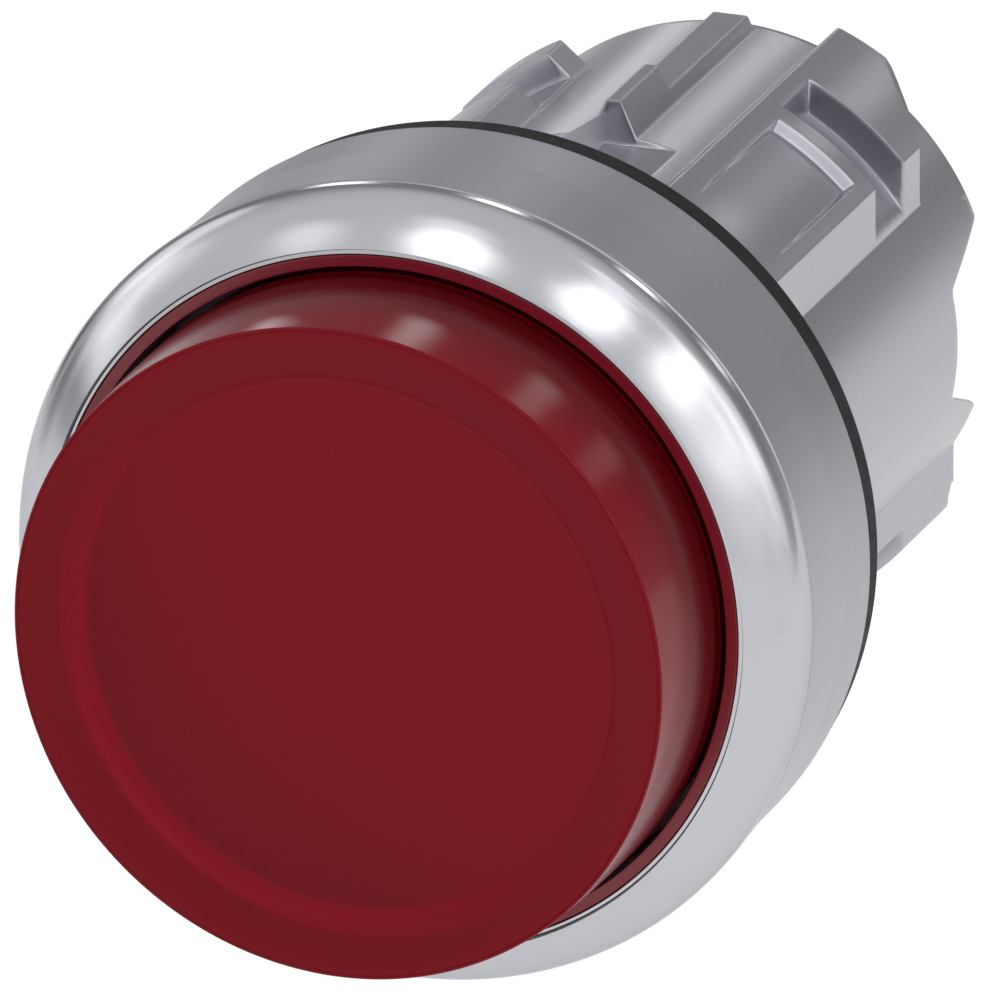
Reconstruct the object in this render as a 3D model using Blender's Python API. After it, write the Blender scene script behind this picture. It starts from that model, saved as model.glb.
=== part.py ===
"""Illuminated raised push button for a 22 mm panel hole: operator head with a die-cast barrel.

The button's axis is Y. The front faces -Y, the barrel runs back along +Y through the panel,
and the key rib stands at 12 o'clock, +Z. The origin is on the axis in the panel's front plane,
which is the rear face of the panel gasket. Lengths below are in millimetres.
"""
import math

import bmesh
import bpy

MM = 0.001

# Round resolution
FINE = 72
MEDIUM = 48
COARSE = 32

# Gaps between neighbouring pieces
GAP = 0.25
SEAM = 0.15

# Lens
LENS_FRONT_Y = -16.15
LENS_FRONT_R = 12.07
LENS_BASE_R = 12.15
LENS_REAR_Y = -8.2
LENS_WALL = 1.0
LENS_FACE = 0.6
LENS_RIM_R = 11.7
DISH_EDGE_R = 10.25
DISH_EDGE_DEPTH = 0.35
DISH_FLOOR_R = 9.9
DISH_DEPTH = 0.65
LENS_EDGE = 0.12
LENS_INNER_R = LENS_BASE_R - LENS_WALL
LENS_INNER_Y = LENS_FRONT_Y + DISH_DEPTH + LENS_FACE

# Discs under the lens
DISC_R = LENS_INNER_R - 0.3
LEGEND_THICK = 0.7
DIFFUSER_THICK = 1.05

# Button carrier, which the lens snaps onto
CARRIER_R = LENS_INNER_R - GAP
CARRIER_CUP_R = 9.7
CARRIER_FRONT_Y = -12.4
CARRIER_FLOOR_Y = -9.4
CARRIER_FLANGE_Y = -8.0
CARRIER_REAR_Y = -7.5
CARRIER_FLANGE_R = 12.0
CARRIER_HOLE_R = 6.45
SEAL_GROOVE_R = 10.1
SEAL_GROOVE_Y = (-11.1, -10.1)

# Plunger tube
PLUNGER_R = 6.2
PLUNGER_BORE_R = 5.0
PLUNGER_FRONT_Y = -10.6
PLUNGER_REAR_Y = 21.9
SHOULDER_R = 7.2
SHOULDER_Y = (-7.2, -6.6)
COLLAR_R = 8.0
COLLAR_Y = (4.6, 5.8)
CLIP_GROOVE_R = 5.6
CLIP_GROOVE_Y = (-10.3, -9.6)
CLIP_R = (CLIP_GROOVE_R + 0.2, 7.6)
CLIP_Y = (-10.2, -9.65)
CLIP_GAP_DEG = 60.0
KEY_WIDTH = 1.6
KEY_R = 6.75
KEY_Y = (5.0, 20.0)

# Light guide
GUIDE_R = PLUNGER_BORE_R - 0.4
GUIDE_HEAD_R = 6.0
GUIDE_FRONT_Y = -11.3
GUIDE_REAR_Y = 10.0

# Pusher ring on the plunger's rear end
PUSHER_BORE_R = PLUNGER_R + GAP
PUSHER_R = 8.1
PUSHER_Y = (20.4, 21.8)
FOOT_X = (5.95, 7.95)
FOOT_HALF_Z = 1.9
FOOT_REAR_Y = 24.3

# Flange of the housing, in front of the panel
FLANGE_FRONT_Y = -7.9
FLANGE_STEP_Y = -4.0
FLANGE_REAR_Y = -1.3
FLANGE_R = (14.70, 14.55, 14.46)
SPIGOT_BORE_R = 14.0
LEDGE_Y = -5.4
CAVITY_R = 12.9
CAVITY_FLOOR_Y = -2.5

# Barrel of the housing, behind the panel
BARREL_R = 9.8
BARREL_REAR_Y = 24.7
BORE_R = 8.5
WIPER_BORE_R = 8.9
WIPER_BORE_Y = -0.75
RING_GROOVE_R = 9.05
RING_GROOVE_Y = (19.1, 20.2)

# Raised pads of the barrel, which centre it in the panel hole and carry the rear holder
PAD_R = 11.1
PAD_ROOT_R = 9.2
PAD_SIDE_X = 8.34
SLOT_FLOOR_R = 9.95
RIGHT_FLANK = (18.7, 21.8)
LEFT_FLANK = (24.5, 27.6)
RIGHT_SLOT_Y = (16.35, 19.2)
RIGHT_SLOT_X = 4.75
UPPER_SLOT_Z = 3.0
RIGHT_REAR_Y = 24.1
RIGHT_SLOPE = (33.0, 21.0)
LOWER_SLOT_Z = 6.6
LEFT_SLOT_Y = (15.8, 19.05)
LEFT_SLOT_DEG = (15.0, 75.0)
LEFT_REAR_Y = 20.7
WINDOW_Y = (7.7, 15.1)
WINDOW_DEG = (27.0, 45.4)
WINDOW_DEPTH = 0.4

# Key rib at 12 o'clock, with the flat pocket and the locating nib in front of it
RIB_TOP_Z = 11.1
RIB_TOP_HALF = 0.28
RIB_BASE_HALF = 0.9
RIB_BASE_Z = 9.75
RIB_Y = (11.9, 16.0)
LOW_RIB_Z = 10.27
LOW_RIB_REAR_Y = 24.2
POCKET_Z = 9.49
POCKET_HALF_X = 3.0
POCKET_FRONT_Y = 2.6
NIB_HALF_X = 1.4
NIB_TOP_Z = 12.5
NIB_REAR_Y = 1.6

# Fin that rises from the key rib to the nib: X of its left foot, top and right foot, and its height
FIN_FRONT_X = (-0.55, 0.20, 0.35)
FIN_FRONT_Z = 12.4
FIN_REAR_X = (-0.75, -0.38, -0.30)
FIN_REAR_Z = 10.56
FIN_OVERLAP = 0.3

# Notches in the rear end of the barrel
NOTCH_FRONT_Y = 21.0
NOTCH_HALF_FRONT = 2.05
NOTCH_HALF_REAR = 3.95

# Chrome bezel ring
BEZEL_R = 14.75
BEZEL_FRONT_Y = -10.55
BEZEL_FACE = ((13.0, BEZEL_FRONT_Y), (13.6, -10.1), (14.1, -9.6), (14.45, -9.1), (14.68, -8.65))
BEZEL_LIP_R = 12.85
BEZEL_LIP_Y = (-10.4, -10.1)
BEZEL_BORE_Y = -9.9
BEZEL_BORE_R = 13.05
BEZEL_SHOULDER_Y = -8.3
SPIGOT_R = SPIGOT_BORE_R - GAP
SPIGOT_REAR_Y = -6.6

# Red collar ring inside the bezel
LENS_COLLAR_R = (12.4, 12.8)
LENS_COLLAR_FRONT_Y = -10.3
LENS_COLLAR_FLANGE_R = 13.15
LENS_COLLAR_FLANGE_Y = (-6.3, -5.7)

# Panel gasket
GASKET_R = 14.3
GASKET_BORE_R = 11.4
GASKET_FRONT_Y = -1.15

# Rubber seals: O-rings as centre radius, station and cord radius, and the sections of the others
BEZEL_SEAL = (13.68, -6.0, 0.25)
LENS_SEAL = (10.62, -10.6, 0.28)
SEAL_SIDES = 6
STOP_RING_R = (9.6, 11.8)
STOP_RING_Y = (CAVITY_FLOOR_Y - 0.7, CAVITY_FLOOR_Y - GAP)
WIPER_R = WIPER_BORE_R - GAP
WIPER_SECTION = ((6.35, -2.3), (6.75, -2.1), (7.2, -1.6), (WIPER_R, -1.6), (WIPER_R, -1.0),
                 (7.0, -1.0), (6.7, -1.5))

# Pieces inside the bore
BUSH_R = (PLUNGER_R + GAP, BORE_R - GAP)
FRONT_BUSH_Y = (-0.45, 3.9)
SPRING_Y = (6.1, 15.1)
SPRING_MEAN_R = 7.3
SPRING_WIRE_R = 0.35
SPRING_TURNS = 6.0
SPRING_END_PITCH = SPRING_WIRE_R * 2 + 0.12
SPRING_STEPS = 20
WASHER_R = (6.9, 8.2)
WASHER_Y = (15.4, 16.1)
REAR_BUSH_Y = (16.4, 19.0)
RETAINER_R = (7.35, 8.8)
RETAINER_Y = (19.3, 20.0)
RETAINER_GAP_DEG = 34.0


def polar(radius, degrees):
    """Point in the XZ plane; the angle runs clockwise from +Z as seen from the front."""
    angle = math.radians(degrees)
    return radius * math.sin(angle), radius * math.cos(angle)


def material(name, colour, roughness, metallic=0.0, transmission=0.0):
    mat = bpy.data.materials.new(name)
    mat.use_nodes = True
    shader = mat.node_tree.nodes["Principled BSDF"]
    shader.inputs["Base Color"].default_value = (*colour, 1.0)
    shader.inputs["Roughness"].default_value = roughness
    shader.inputs["Metallic"].default_value = metallic
    shader.inputs["Transmission Weight"].default_value = transmission
    return mat


def finish_mesh(name, bm, mat, parent):
    """Turn a bmesh in millimetres into a smooth-shaded object in metres."""
    bmesh.ops.recalc_face_normals(bm, faces=bm.faces)
    bmesh.ops.scale(bm, vec=(MM, MM, MM), verts=bm.verts)
    mesh = bpy.data.meshes.new(name)
    bm.to_mesh(mesh)
    bm.free()
    mesh.shade_smooth()
    mesh.set_sharp_from_angle(angle=math.radians(30))
    obj = bpy.data.objects.new(name, mesh)
    bpy.context.scene.collection.objects.link(obj)
    obj.parent = parent
    if mat:
        mesh.materials.append(mat)
    return obj


def lathe(name, profile, segments, mat=None, parent=None):
    """Solid of revolution about Y from a closed (radius, y) outline."""
    bm = bmesh.new()
    verts = [bm.verts.new((radius, y, 0.0)) for radius, y in profile]
    edges = [bm.edges.new((a, b)) for a, b in zip(verts, verts[1:])]
    if profile[0][0] > 0.0 or profile[-1][0] > 0.0:
        edges.append(bm.edges.new((verts[-1], verts[0])))
    bmesh.ops.spin(bm, geom=verts + edges, cent=(0, 0, 0), axis=(0, 1, 0),
                   angle=math.tau, steps=segments, use_merge=True)
    bmesh.ops.remove_doubles(bm, verts=bm.verts, dist=1e-5)
    return finish_mesh(name, bm, mat, parent)


def loft(name, sections, mat=None, parent=None):
    """Closed solid through sections with equal numbers of (x, y, z) points, capped at both ends."""
    bm = bmesh.new()
    rings = [[bm.verts.new(point) for point in section] for section in sections]
    count = len(rings[0])
    for ring, following in zip(rings, rings[1:]):
        for i in range(count):
            j = (i + 1) % count
            bm.faces.new((ring[i], ring[j], following[j], following[i]))
    bm.faces.new(rings[0])
    bm.faces.new(reversed(rings[-1]))
    return finish_mesh(name, bm, mat, parent)


def helper(obj):
    """Hide an object that only joins or cuts another one."""
    obj.hide_render = True
    obj.display_type = "WIRE"
    return obj


def combine(obj, operation, other):
    modifier = obj.modifiers.new(other.name, "BOOLEAN")
    modifier.operation = operation
    modifier.solver = "EXACT"
    modifier.object = helper(other)


def ring(name, radii, y_range, mat, parent, segments=MEDIUM):
    """Plain ring with a rectangular section."""
    inner, outer = radii
    front, rear = y_range
    profile = [(inner, front), (outer, front), (outer, rear), (inner, rear)]
    return lathe(name, profile, segments, mat, parent)


def round_seal(name, seal, mat, parent):
    """O-ring: a round cord turned about the axis."""
    radius, y, cord_r = seal
    profile = []
    for i in range(SEAL_SIDES):
        angle = math.tau * i / SEAL_SIDES
        profile.append((radius + cord_r * math.cos(angle), y + cord_r * math.sin(angle)))
    return lathe(name, profile, MEDIUM, mat, parent)


def bezel_ring(mat, parent):
    """Chrome front ring: convex front face, small inner lip and a spigot that enters the housing."""
    lip_front, lip_rear = BEZEL_LIP_Y
    profile = [
        (BEZEL_LIP_R, lip_front),
        *BEZEL_FACE,
        (BEZEL_R, BEZEL_SHOULDER_Y),
        (BEZEL_R, FLANGE_FRONT_Y - SEAM),
        (SPIGOT_R, FLANGE_FRONT_Y - SEAM),
        (SPIGOT_R, SPIGOT_REAR_Y),
        (BEZEL_BORE_R, SPIGOT_REAR_Y),
        (BEZEL_BORE_R, BEZEL_BORE_Y),
        (BEZEL_LIP_R, lip_rear),
    ]
    return lathe("bezel_ring", profile, FINE, mat, parent)


def lens_collar(mat, parent):
    inner, outer = LENS_COLLAR_R
    flange_front, flange_rear = LENS_COLLAR_FLANGE_Y
    profile = [
        (inner, LENS_COLLAR_FRONT_Y), (outer, LENS_COLLAR_FRONT_Y),
        (outer, flange_front), (LENS_COLLAR_FLANGE_R, flange_front),
        (LENS_COLLAR_FLANGE_R, flange_rear), (inner, flange_rear),
    ]
    return lathe("lens_collar", profile, FINE, mat, parent)


def panel_gasket(mat, parent):
    gasket = lathe("panel_gasket", [
        (GASKET_BORE_R, GASKET_FRONT_Y), (GASKET_R, GASKET_FRONT_Y),
        (GASKET_R, 0.0), (GASKET_BORE_R, 0.0),
    ], FINE, mat, parent)
    half = NIB_HALF_X + GAP
    combine(gasket, "DIFFERENCE", box("gasket_nib_notch", (-half, half), (-3.0, 2.0),
                                      (10.0, NIB_TOP_Z + GAP)))
    return gasket


def box(name, x_range, y_range, z_range):
    """Axis-aligned helper block."""
    sections = []
    for y in y_range:
        sections.append([(x_range[0], y, z_range[0]), (x_range[1], y, z_range[0]),
                         (x_range[1], y, z_range[1]), (x_range[0], y, z_range[1])])
    return loft(name, sections)


def pad_sections(flank, y_front, y_rear, steps=8):
    """Stations of a raised pad in the upper right: a flank, an arc at PAD_R and a flat side.

    y_rear is a function of the station's angle, so that a pad can end on a slope.
    """
    base_deg, top_deg = flank
    side_deg = math.degrees(math.asin(PAD_SIDE_X / PAD_R))
    base, top = polar(BARREL_R, base_deg), polar(PAD_R, top_deg)
    reach = (BARREL_R - PAD_ROOT_R) / (PAD_R - BARREL_R)
    root = (base[0] - (top[0] - base[0]) * reach, base[1] - (top[1] - base[1]) * reach)
    pairs = [(root, top, top_deg)]
    for i in range(1, steps):
        degrees = top_deg + (side_deg - top_deg) * i / steps
        pairs.append((polar(PAD_ROOT_R, degrees), polar(PAD_R, degrees), degrees))
    side_root = (PAD_SIDE_X, math.sqrt(PAD_ROOT_R ** 2 - PAD_SIDE_X ** 2))
    pairs.append((side_root, polar(PAD_R, side_deg), side_deg))
    sections = []
    for inner, outer, degrees in pairs:
        rear = y_rear(degrees)
        sections.append([(inner[0], y_front, inner[1]), (outer[0], y_front, outer[1]),
                         (outer[0], rear, outer[1]), (inner[0], rear, inner[1])])
    return sections


def mirrored(sections, sign_x, sign_z):
    return [[(x * sign_x, y, z * sign_z) for x, y, z in section] for section in sections]


def sloped_rear(degrees):
    """Rear end of the upper right pad: straight, then sloping forward to its flat side."""
    slope_deg, end_y = RIGHT_SLOPE
    side_deg = math.degrees(math.asin(PAD_SIDE_X / PAD_R))
    share = max(0.0, (degrees - slope_deg) / (side_deg - slope_deg))
    return RIGHT_REAR_Y + (end_y - RIGHT_REAR_Y) * share


def add_pads(housing):
    front = FLANGE_REAR_Y - 0.5
    upper_right = pad_sections(RIGHT_FLANK, front, sloped_rear)
    lower_right = pad_sections(RIGHT_FLANK, front, lambda degrees: BARREL_REAR_Y - 0.1)
    left = pad_sections(LEFT_FLANK, front, lambda degrees: LEFT_REAR_Y)
    combine(housing, "UNION", loft("pad_upper_right", upper_right))
    combine(housing, "UNION", loft("pad_lower_right", mirrored(lower_right, 1, -1)))
    combine(housing, "UNION", loft("pad_upper_left", mirrored(left, -1, 1)))
    combine(housing, "UNION", loft("pad_lower_left", mirrored(left, -1, -1)))


def slot_sections(deg_range, y_range, steps=8):
    """Cutter outside the slot's round floor, swept between two angles."""
    start_deg, end_deg = deg_range
    front, rear = y_range
    sections = []
    for i in range(steps + 1):
        degrees = start_deg + (end_deg - start_deg) * i / steps
        inner, outer = polar(SLOT_FLOOR_R, degrees), polar(PAD_R + 2.0, degrees)
        sections.append([(inner[0], front, inner[1]), (outer[0], front, outer[1]),
                         (outer[0], rear, outer[1]), (inner[0], rear, inner[1])])
    return sections


def square_slot_sections(low_z, y_range, steps=8):
    """Cutter for a slot whose inner wall is the plane x = RIGHT_SLOT_X; low_z is its lowest edge."""
    front, rear = y_range
    top_z = PAD_R + 1.0
    right_x = PAD_R + 1.0
    start = math.degrees(math.asin(RIGHT_SLOT_X / SLOT_FLOOR_R))
    end = math.degrees(math.acos(low_z / SLOT_FLOOR_R))
    floor = [polar(SLOT_FLOOR_R, start + (end - start) * i / steps) for i in range(steps + 1)]
    outline = [(RIGHT_SLOT_X, top_z)] + floor + [(right_x, low_z), (right_x, top_z)]
    return [[(x, y, z) for x, z in outline] for y in (front, rear)]


def cut_slots(housing):
    """Slots across the pads, which the rear holder's latch and its spring engage."""
    upper = square_slot_sections(UPPER_SLOT_Z, RIGHT_SLOT_Y)
    lower = square_slot_sections(LOWER_SLOT_Z, RIGHT_SLOT_Y)
    left = slot_sections(LEFT_SLOT_DEG, LEFT_SLOT_Y)
    combine(housing, "DIFFERENCE", loft("slot_upper_right", upper))
    combine(housing, "DIFFERENCE", loft("slot_lower_right", mirrored(lower, 1, -1)))
    combine(housing, "DIFFERENCE", loft("slot_upper_left", mirrored(left, -1, 1)))
    combine(housing, "DIFFERENCE", loft("slot_lower_left", mirrored(left, -1, -1)))


def cut_windows(housing):
    """Shallow recesses in the pads, whose floors slope from nothing at the front to WINDOW_DEPTH."""
    front, rear = WINDOW_Y
    over = PAD_R + 0.6
    steps = 6
    sections = []
    for i in range(steps + 1):
        degrees = WINDOW_DEG[0] + (WINDOW_DEG[1] - WINDOW_DEG[0]) * i / steps
        points = [(PAD_R, front), (PAD_R - WINDOW_DEPTH, rear), (over, rear), (over, front)]
        section = []
        for radius, y in points:
            x, z = polar(radius, degrees)
            section.append((x, y, z))
        sections.append(section)
    for name, sign_x, sign_z in (("upper_right", 1, 1), ("lower_right", 1, -1)):
        cutter = loft("window_" + name, mirrored(sections, sign_x, sign_z))
        combine(housing, "DIFFERENCE", cutter)


def add_key(housing):
    """Key rib, its lower rear part, the flat pocket in front of it, the nib and its fin."""
    combine(housing, "DIFFERENCE", box("key_pocket", (-POCKET_HALF_X, POCKET_HALF_X),
                                       (POCKET_FRONT_Y, RIB_Y[0]), (POCKET_Z, POCKET_Z + 2.0)))
    slope = (RIB_BASE_HALF - RIB_TOP_HALF) / (RIB_TOP_Z - RIB_BASE_Z)
    root_z = PAD_ROOT_R

    def rib_outline(top_z):
        top_half = RIB_TOP_HALF + (RIB_TOP_Z - top_z) * slope
        root_half = RIB_TOP_HALF + (RIB_TOP_Z - root_z) * slope
        return [(-root_half, root_z), (-top_half, top_z), (top_half, top_z), (root_half, root_z)]

    for name, top_z, y_range in (("key_rib", RIB_TOP_Z, RIB_Y),
                                 ("key_rib_rear", LOW_RIB_Z, (RIB_Y[0] + 0.5, LOW_RIB_REAR_Y))):
        outline = rib_outline(top_z)
        sections = [[(x, y, z) for x, z in outline] for y in y_range]
        combine(housing, "UNION", loft(name, sections))

    fin = []
    for xs, y, top_z in ((FIN_REAR_X, RIB_Y[0] + FIN_OVERLAP, FIN_REAR_Z),
                         (FIN_FRONT_X, NIB_REAR_Y - FIN_OVERLAP, FIN_FRONT_Z)):
        fin.append([(xs[0], y, root_z), (xs[1], y, top_z), (xs[2], y, root_z)])
    combine(housing, "UNION", loft("nib_fin", fin))
    combine(housing, "UNION", box("locating_nib", (-NIB_HALF_X, NIB_HALF_X),
                                  (FLANGE_REAR_Y - 0.5, NIB_REAR_Y), (root_z, NIB_TOP_Z)))


def cut_rear_notches(housing):
    for name, sign in (("right", 1), ("left", -1)):
        sections = []
        for x in (7.0 * sign, 12.0 * sign):
            sections.append([(x, NOTCH_FRONT_Y, -NOTCH_HALF_FRONT), (x, NOTCH_FRONT_Y, NOTCH_HALF_FRONT),
                             (x, BARREL_REAR_Y + 1.0, NOTCH_HALF_REAR),
                             (x, BARREL_REAR_Y + 1.0, -NOTCH_HALF_REAR)])
        combine(housing, "DIFFERENCE", loft("rear_notch_" + name, sections))


def housing_part(mat, parent):
    """Die-cast housing: flange in front of the panel, barrel behind it, bored from both ends."""
    front_r, step_r, rear_r = FLANGE_R
    housing = lathe("housing", [
        (0.0, FLANGE_FRONT_Y), (front_r, FLANGE_FRONT_Y), (step_r, FLANGE_STEP_Y),
        (rear_r, FLANGE_REAR_Y), (BARREL_R, FLANGE_REAR_Y), (BARREL_R, BARREL_REAR_Y),
        (0.0, BARREL_REAR_Y),
    ], FINE, mat, parent)
    add_pads(housing)
    cut_slots(housing)
    cut_windows(housing)
    add_key(housing)
    groove_front, groove_rear = RING_GROOVE_Y
    bore = lathe("housing_bore", [
        (0.0, FLANGE_FRONT_Y - 1.0), (SPIGOT_BORE_R, FLANGE_FRONT_Y - 1.0), (SPIGOT_BORE_R, LEDGE_Y),
        (CAVITY_R, LEDGE_Y), (CAVITY_R, CAVITY_FLOOR_Y), (WIPER_BORE_R, CAVITY_FLOOR_Y),
        (WIPER_BORE_R, WIPER_BORE_Y), (BORE_R, WIPER_BORE_Y), (BORE_R, groove_front),
        (RING_GROOVE_R, groove_front), (RING_GROOVE_R, groove_rear), (BORE_R, groove_rear),
        (BORE_R, BARREL_REAR_Y + 1.0), (0.0, BARREL_REAR_Y + 1.0),
    ], FINE)
    combine(housing, "DIFFERENCE", bore)
    cut_rear_notches(housing)
    return housing


def lens_cap(mat, parent):
    """Red translucent cap: face sloping in to a shallow dish, slightly flared side, hollow inside."""
    dish_y = LENS_FRONT_Y + DISH_DEPTH
    profile = [
        (0.0, dish_y), (DISH_FLOOR_R, dish_y), (DISH_EDGE_R, LENS_FRONT_Y + DISH_EDGE_DEPTH),
        (LENS_RIM_R, LENS_FRONT_Y), (LENS_FRONT_R - LENS_EDGE, LENS_FRONT_Y),
        (LENS_FRONT_R, LENS_FRONT_Y + LENS_EDGE),
        (LENS_BASE_R, BEZEL_FRONT_Y), (LENS_BASE_R, LENS_REAR_Y), (LENS_INNER_R, LENS_REAR_Y),
        (LENS_INNER_R, LENS_INNER_Y), (0.0, LENS_INNER_Y),
    ]
    return lathe("lens_cap", profile, FINE, mat, parent)


def disc(name, front_y, thickness, mat, parent):
    profile = [(0.0, front_y), (DISC_R, front_y), (DISC_R, front_y + thickness),
               (0.0, front_y + thickness)]
    return lathe(name, profile, MEDIUM, mat, parent)


def button_carrier(mat, parent):
    """Cup that carries the discs, the lens and its seal; its floor takes the plunger's nose."""
    groove_front, groove_rear = SEAL_GROOVE_Y
    profile = [
        (CARRIER_CUP_R, CARRIER_FRONT_Y), (CARRIER_R, CARRIER_FRONT_Y), (CARRIER_R, groove_front),
        (SEAL_GROOVE_R, groove_front), (SEAL_GROOVE_R, groove_rear), (CARRIER_R, groove_rear),
        (CARRIER_R, CARRIER_FLANGE_Y), (CARRIER_FLANGE_R, CARRIER_FLANGE_Y),
        (CARRIER_FLANGE_R, CARRIER_REAR_Y), (CARRIER_HOLE_R, CARRIER_REAR_Y),
        (CARRIER_HOLE_R, CARRIER_FLOOR_Y), (CARRIER_CUP_R, CARRIER_FLOOR_Y),
    ]
    return lathe("button_carrier", profile, MEDIUM, mat, parent)


def plunger(mat, parent):
    """Sliding tube: clip groove and shoulder for the carrier, collar for the spring, guide key."""
    groove_front, groove_rear = CLIP_GROOVE_Y
    profile = [
        (PLUNGER_BORE_R, PLUNGER_FRONT_Y), (PLUNGER_R, PLUNGER_FRONT_Y), (PLUNGER_R, groove_front),
        (CLIP_GROOVE_R, groove_front), (CLIP_GROOVE_R, groove_rear), (PLUNGER_R, groove_rear),
        (PLUNGER_R, SHOULDER_Y[0]), (SHOULDER_R, SHOULDER_Y[0]), (SHOULDER_R, SHOULDER_Y[1]),
        (PLUNGER_R, SHOULDER_Y[1]), (PLUNGER_R, COLLAR_Y[0]), (COLLAR_R, COLLAR_Y[0]),
        (COLLAR_R, COLLAR_Y[1]), (PLUNGER_R, COLLAR_Y[1]), (PLUNGER_R, PLUNGER_REAR_Y),
        (PLUNGER_BORE_R, PLUNGER_REAR_Y),
    ]
    tube = lathe("plunger", profile, MEDIUM, mat, parent)
    half = KEY_WIDTH / 2
    key = box("plunger_key", (-half, half), KEY_Y, (PLUNGER_R - 0.4, KEY_R))
    combine(tube, "UNION", key)
    return tube


def light_guide(mat, parent):
    profile = [
        (0.0, GUIDE_FRONT_Y), (GUIDE_HEAD_R - 0.3, GUIDE_FRONT_Y),
        (GUIDE_HEAD_R, PLUNGER_FRONT_Y - GAP), (GUIDE_R, PLUNGER_FRONT_Y - GAP),
        (GUIDE_R, GUIDE_REAR_Y - 0.6), (GUIDE_R - 0.8, GUIDE_REAR_Y - 0.2), (0.0, GUIDE_REAR_Y),
    ]
    return lathe("light_guide", profile, COARSE, mat, parent)


def pusher_ring(mat, parent):
    """Ring on the plunger's end with two feet that press the contact blocks."""
    pusher = ring("pusher_ring", (PUSHER_BORE_R, PUSHER_R), PUSHER_Y, mat, parent)
    for name, sign in (("right", 1), ("left", -1)):
        x_range = (FOOT_X[0] * sign, FOOT_X[1] * sign)
        foot = box("foot_" + name, x_range, (PUSHER_Y[0] + 0.5, FOOT_REAR_Y),
                   (-FOOT_HALF_Z, FOOT_HALF_Z))
        combine(pusher, "UNION", foot)
    clearance = ring("foot_clearance", (0.0, PUSHER_BORE_R),
                     (PUSHER_Y[0] - 1.0, FOOT_REAR_Y + 1.0), None, None)
    combine(pusher, "DIFFERENCE", clearance)
    return pusher


def open_ring(name, radii, y_range, gap_deg, mat, parent, steps=30):
    """Spring-steel ring with a gap at the bottom."""
    inner_r, outer_r = radii
    front, rear = y_range
    sections = []
    for i in range(steps + 1):
        degrees = 180.0 + gap_deg / 2 + (360.0 - gap_deg) * i / steps
        inner, outer = polar(inner_r, degrees), polar(outer_r, degrees)
        sections.append([(inner[0], front, inner[1]), (outer[0], front, outer[1]),
                         (outer[0], rear, outer[1]), (inner[0], rear, inner[1])])
    return loft(name, sections, mat, parent)


def wiper_seal(mat, parent):
    """Rubber seal with a thin lip round the plunger."""
    return lathe("wiper_seal", WIPER_SECTION, MEDIUM, mat, parent)


def rear_bush(mat, parent):
    bush = ring("rear_bush", BUSH_R, REAR_BUSH_Y, mat, parent)
    half = KEY_WIDTH / 2 + GAP
    keyway = box("bush_keyway", (-half, half), (REAR_BUSH_Y[0] - 1.0, REAR_BUSH_Y[1] + 1.0),
                 (BUSH_R[0] - 1.5, KEY_R + GAP))
    combine(bush, "DIFFERENCE", keyway)
    return bush


def spring_point(turn):
    """Centre of the wire after a number of turns: close end turns, open turns between them."""
    front, rear = SPRING_Y[0] + SPRING_WIRE_R, SPRING_Y[1] - SPRING_WIRE_R
    open_pitch = (rear - front - 2 * SPRING_END_PITCH) / (SPRING_TURNS - 2)
    along = front + SPRING_END_PITCH * min(turn, 1.0)
    along += open_pitch * min(max(turn - 1.0, 0.0), SPRING_TURNS - 2)
    along += SPRING_END_PITCH * max(turn - SPRING_TURNS + 1.0, 0.0)
    x, z = polar(SPRING_MEAN_R, turn * 360.0)
    return x * MM, along * MM, z * MM


def return_spring(mat, parent):
    curve = bpy.data.curves.new("return_spring", "CURVE")
    curve.dimensions = "3D"
    curve.bevel_depth = SPRING_WIRE_R * MM
    curve.bevel_resolution = 1
    curve.use_fill_caps = True
    count = int(SPRING_TURNS * SPRING_STEPS) + 1
    spline = curve.splines.new("POLY")
    spline.points.add(count - 1)
    for i, point in enumerate(spline.points):
        point.co = (*spring_point(i / SPRING_STEPS), 1.0)
    curve.materials.append(mat)
    obj = bpy.data.objects.new("return_spring", curve)
    bpy.context.scene.collection.objects.link(obj)
    obj.parent = parent
    return obj


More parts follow.
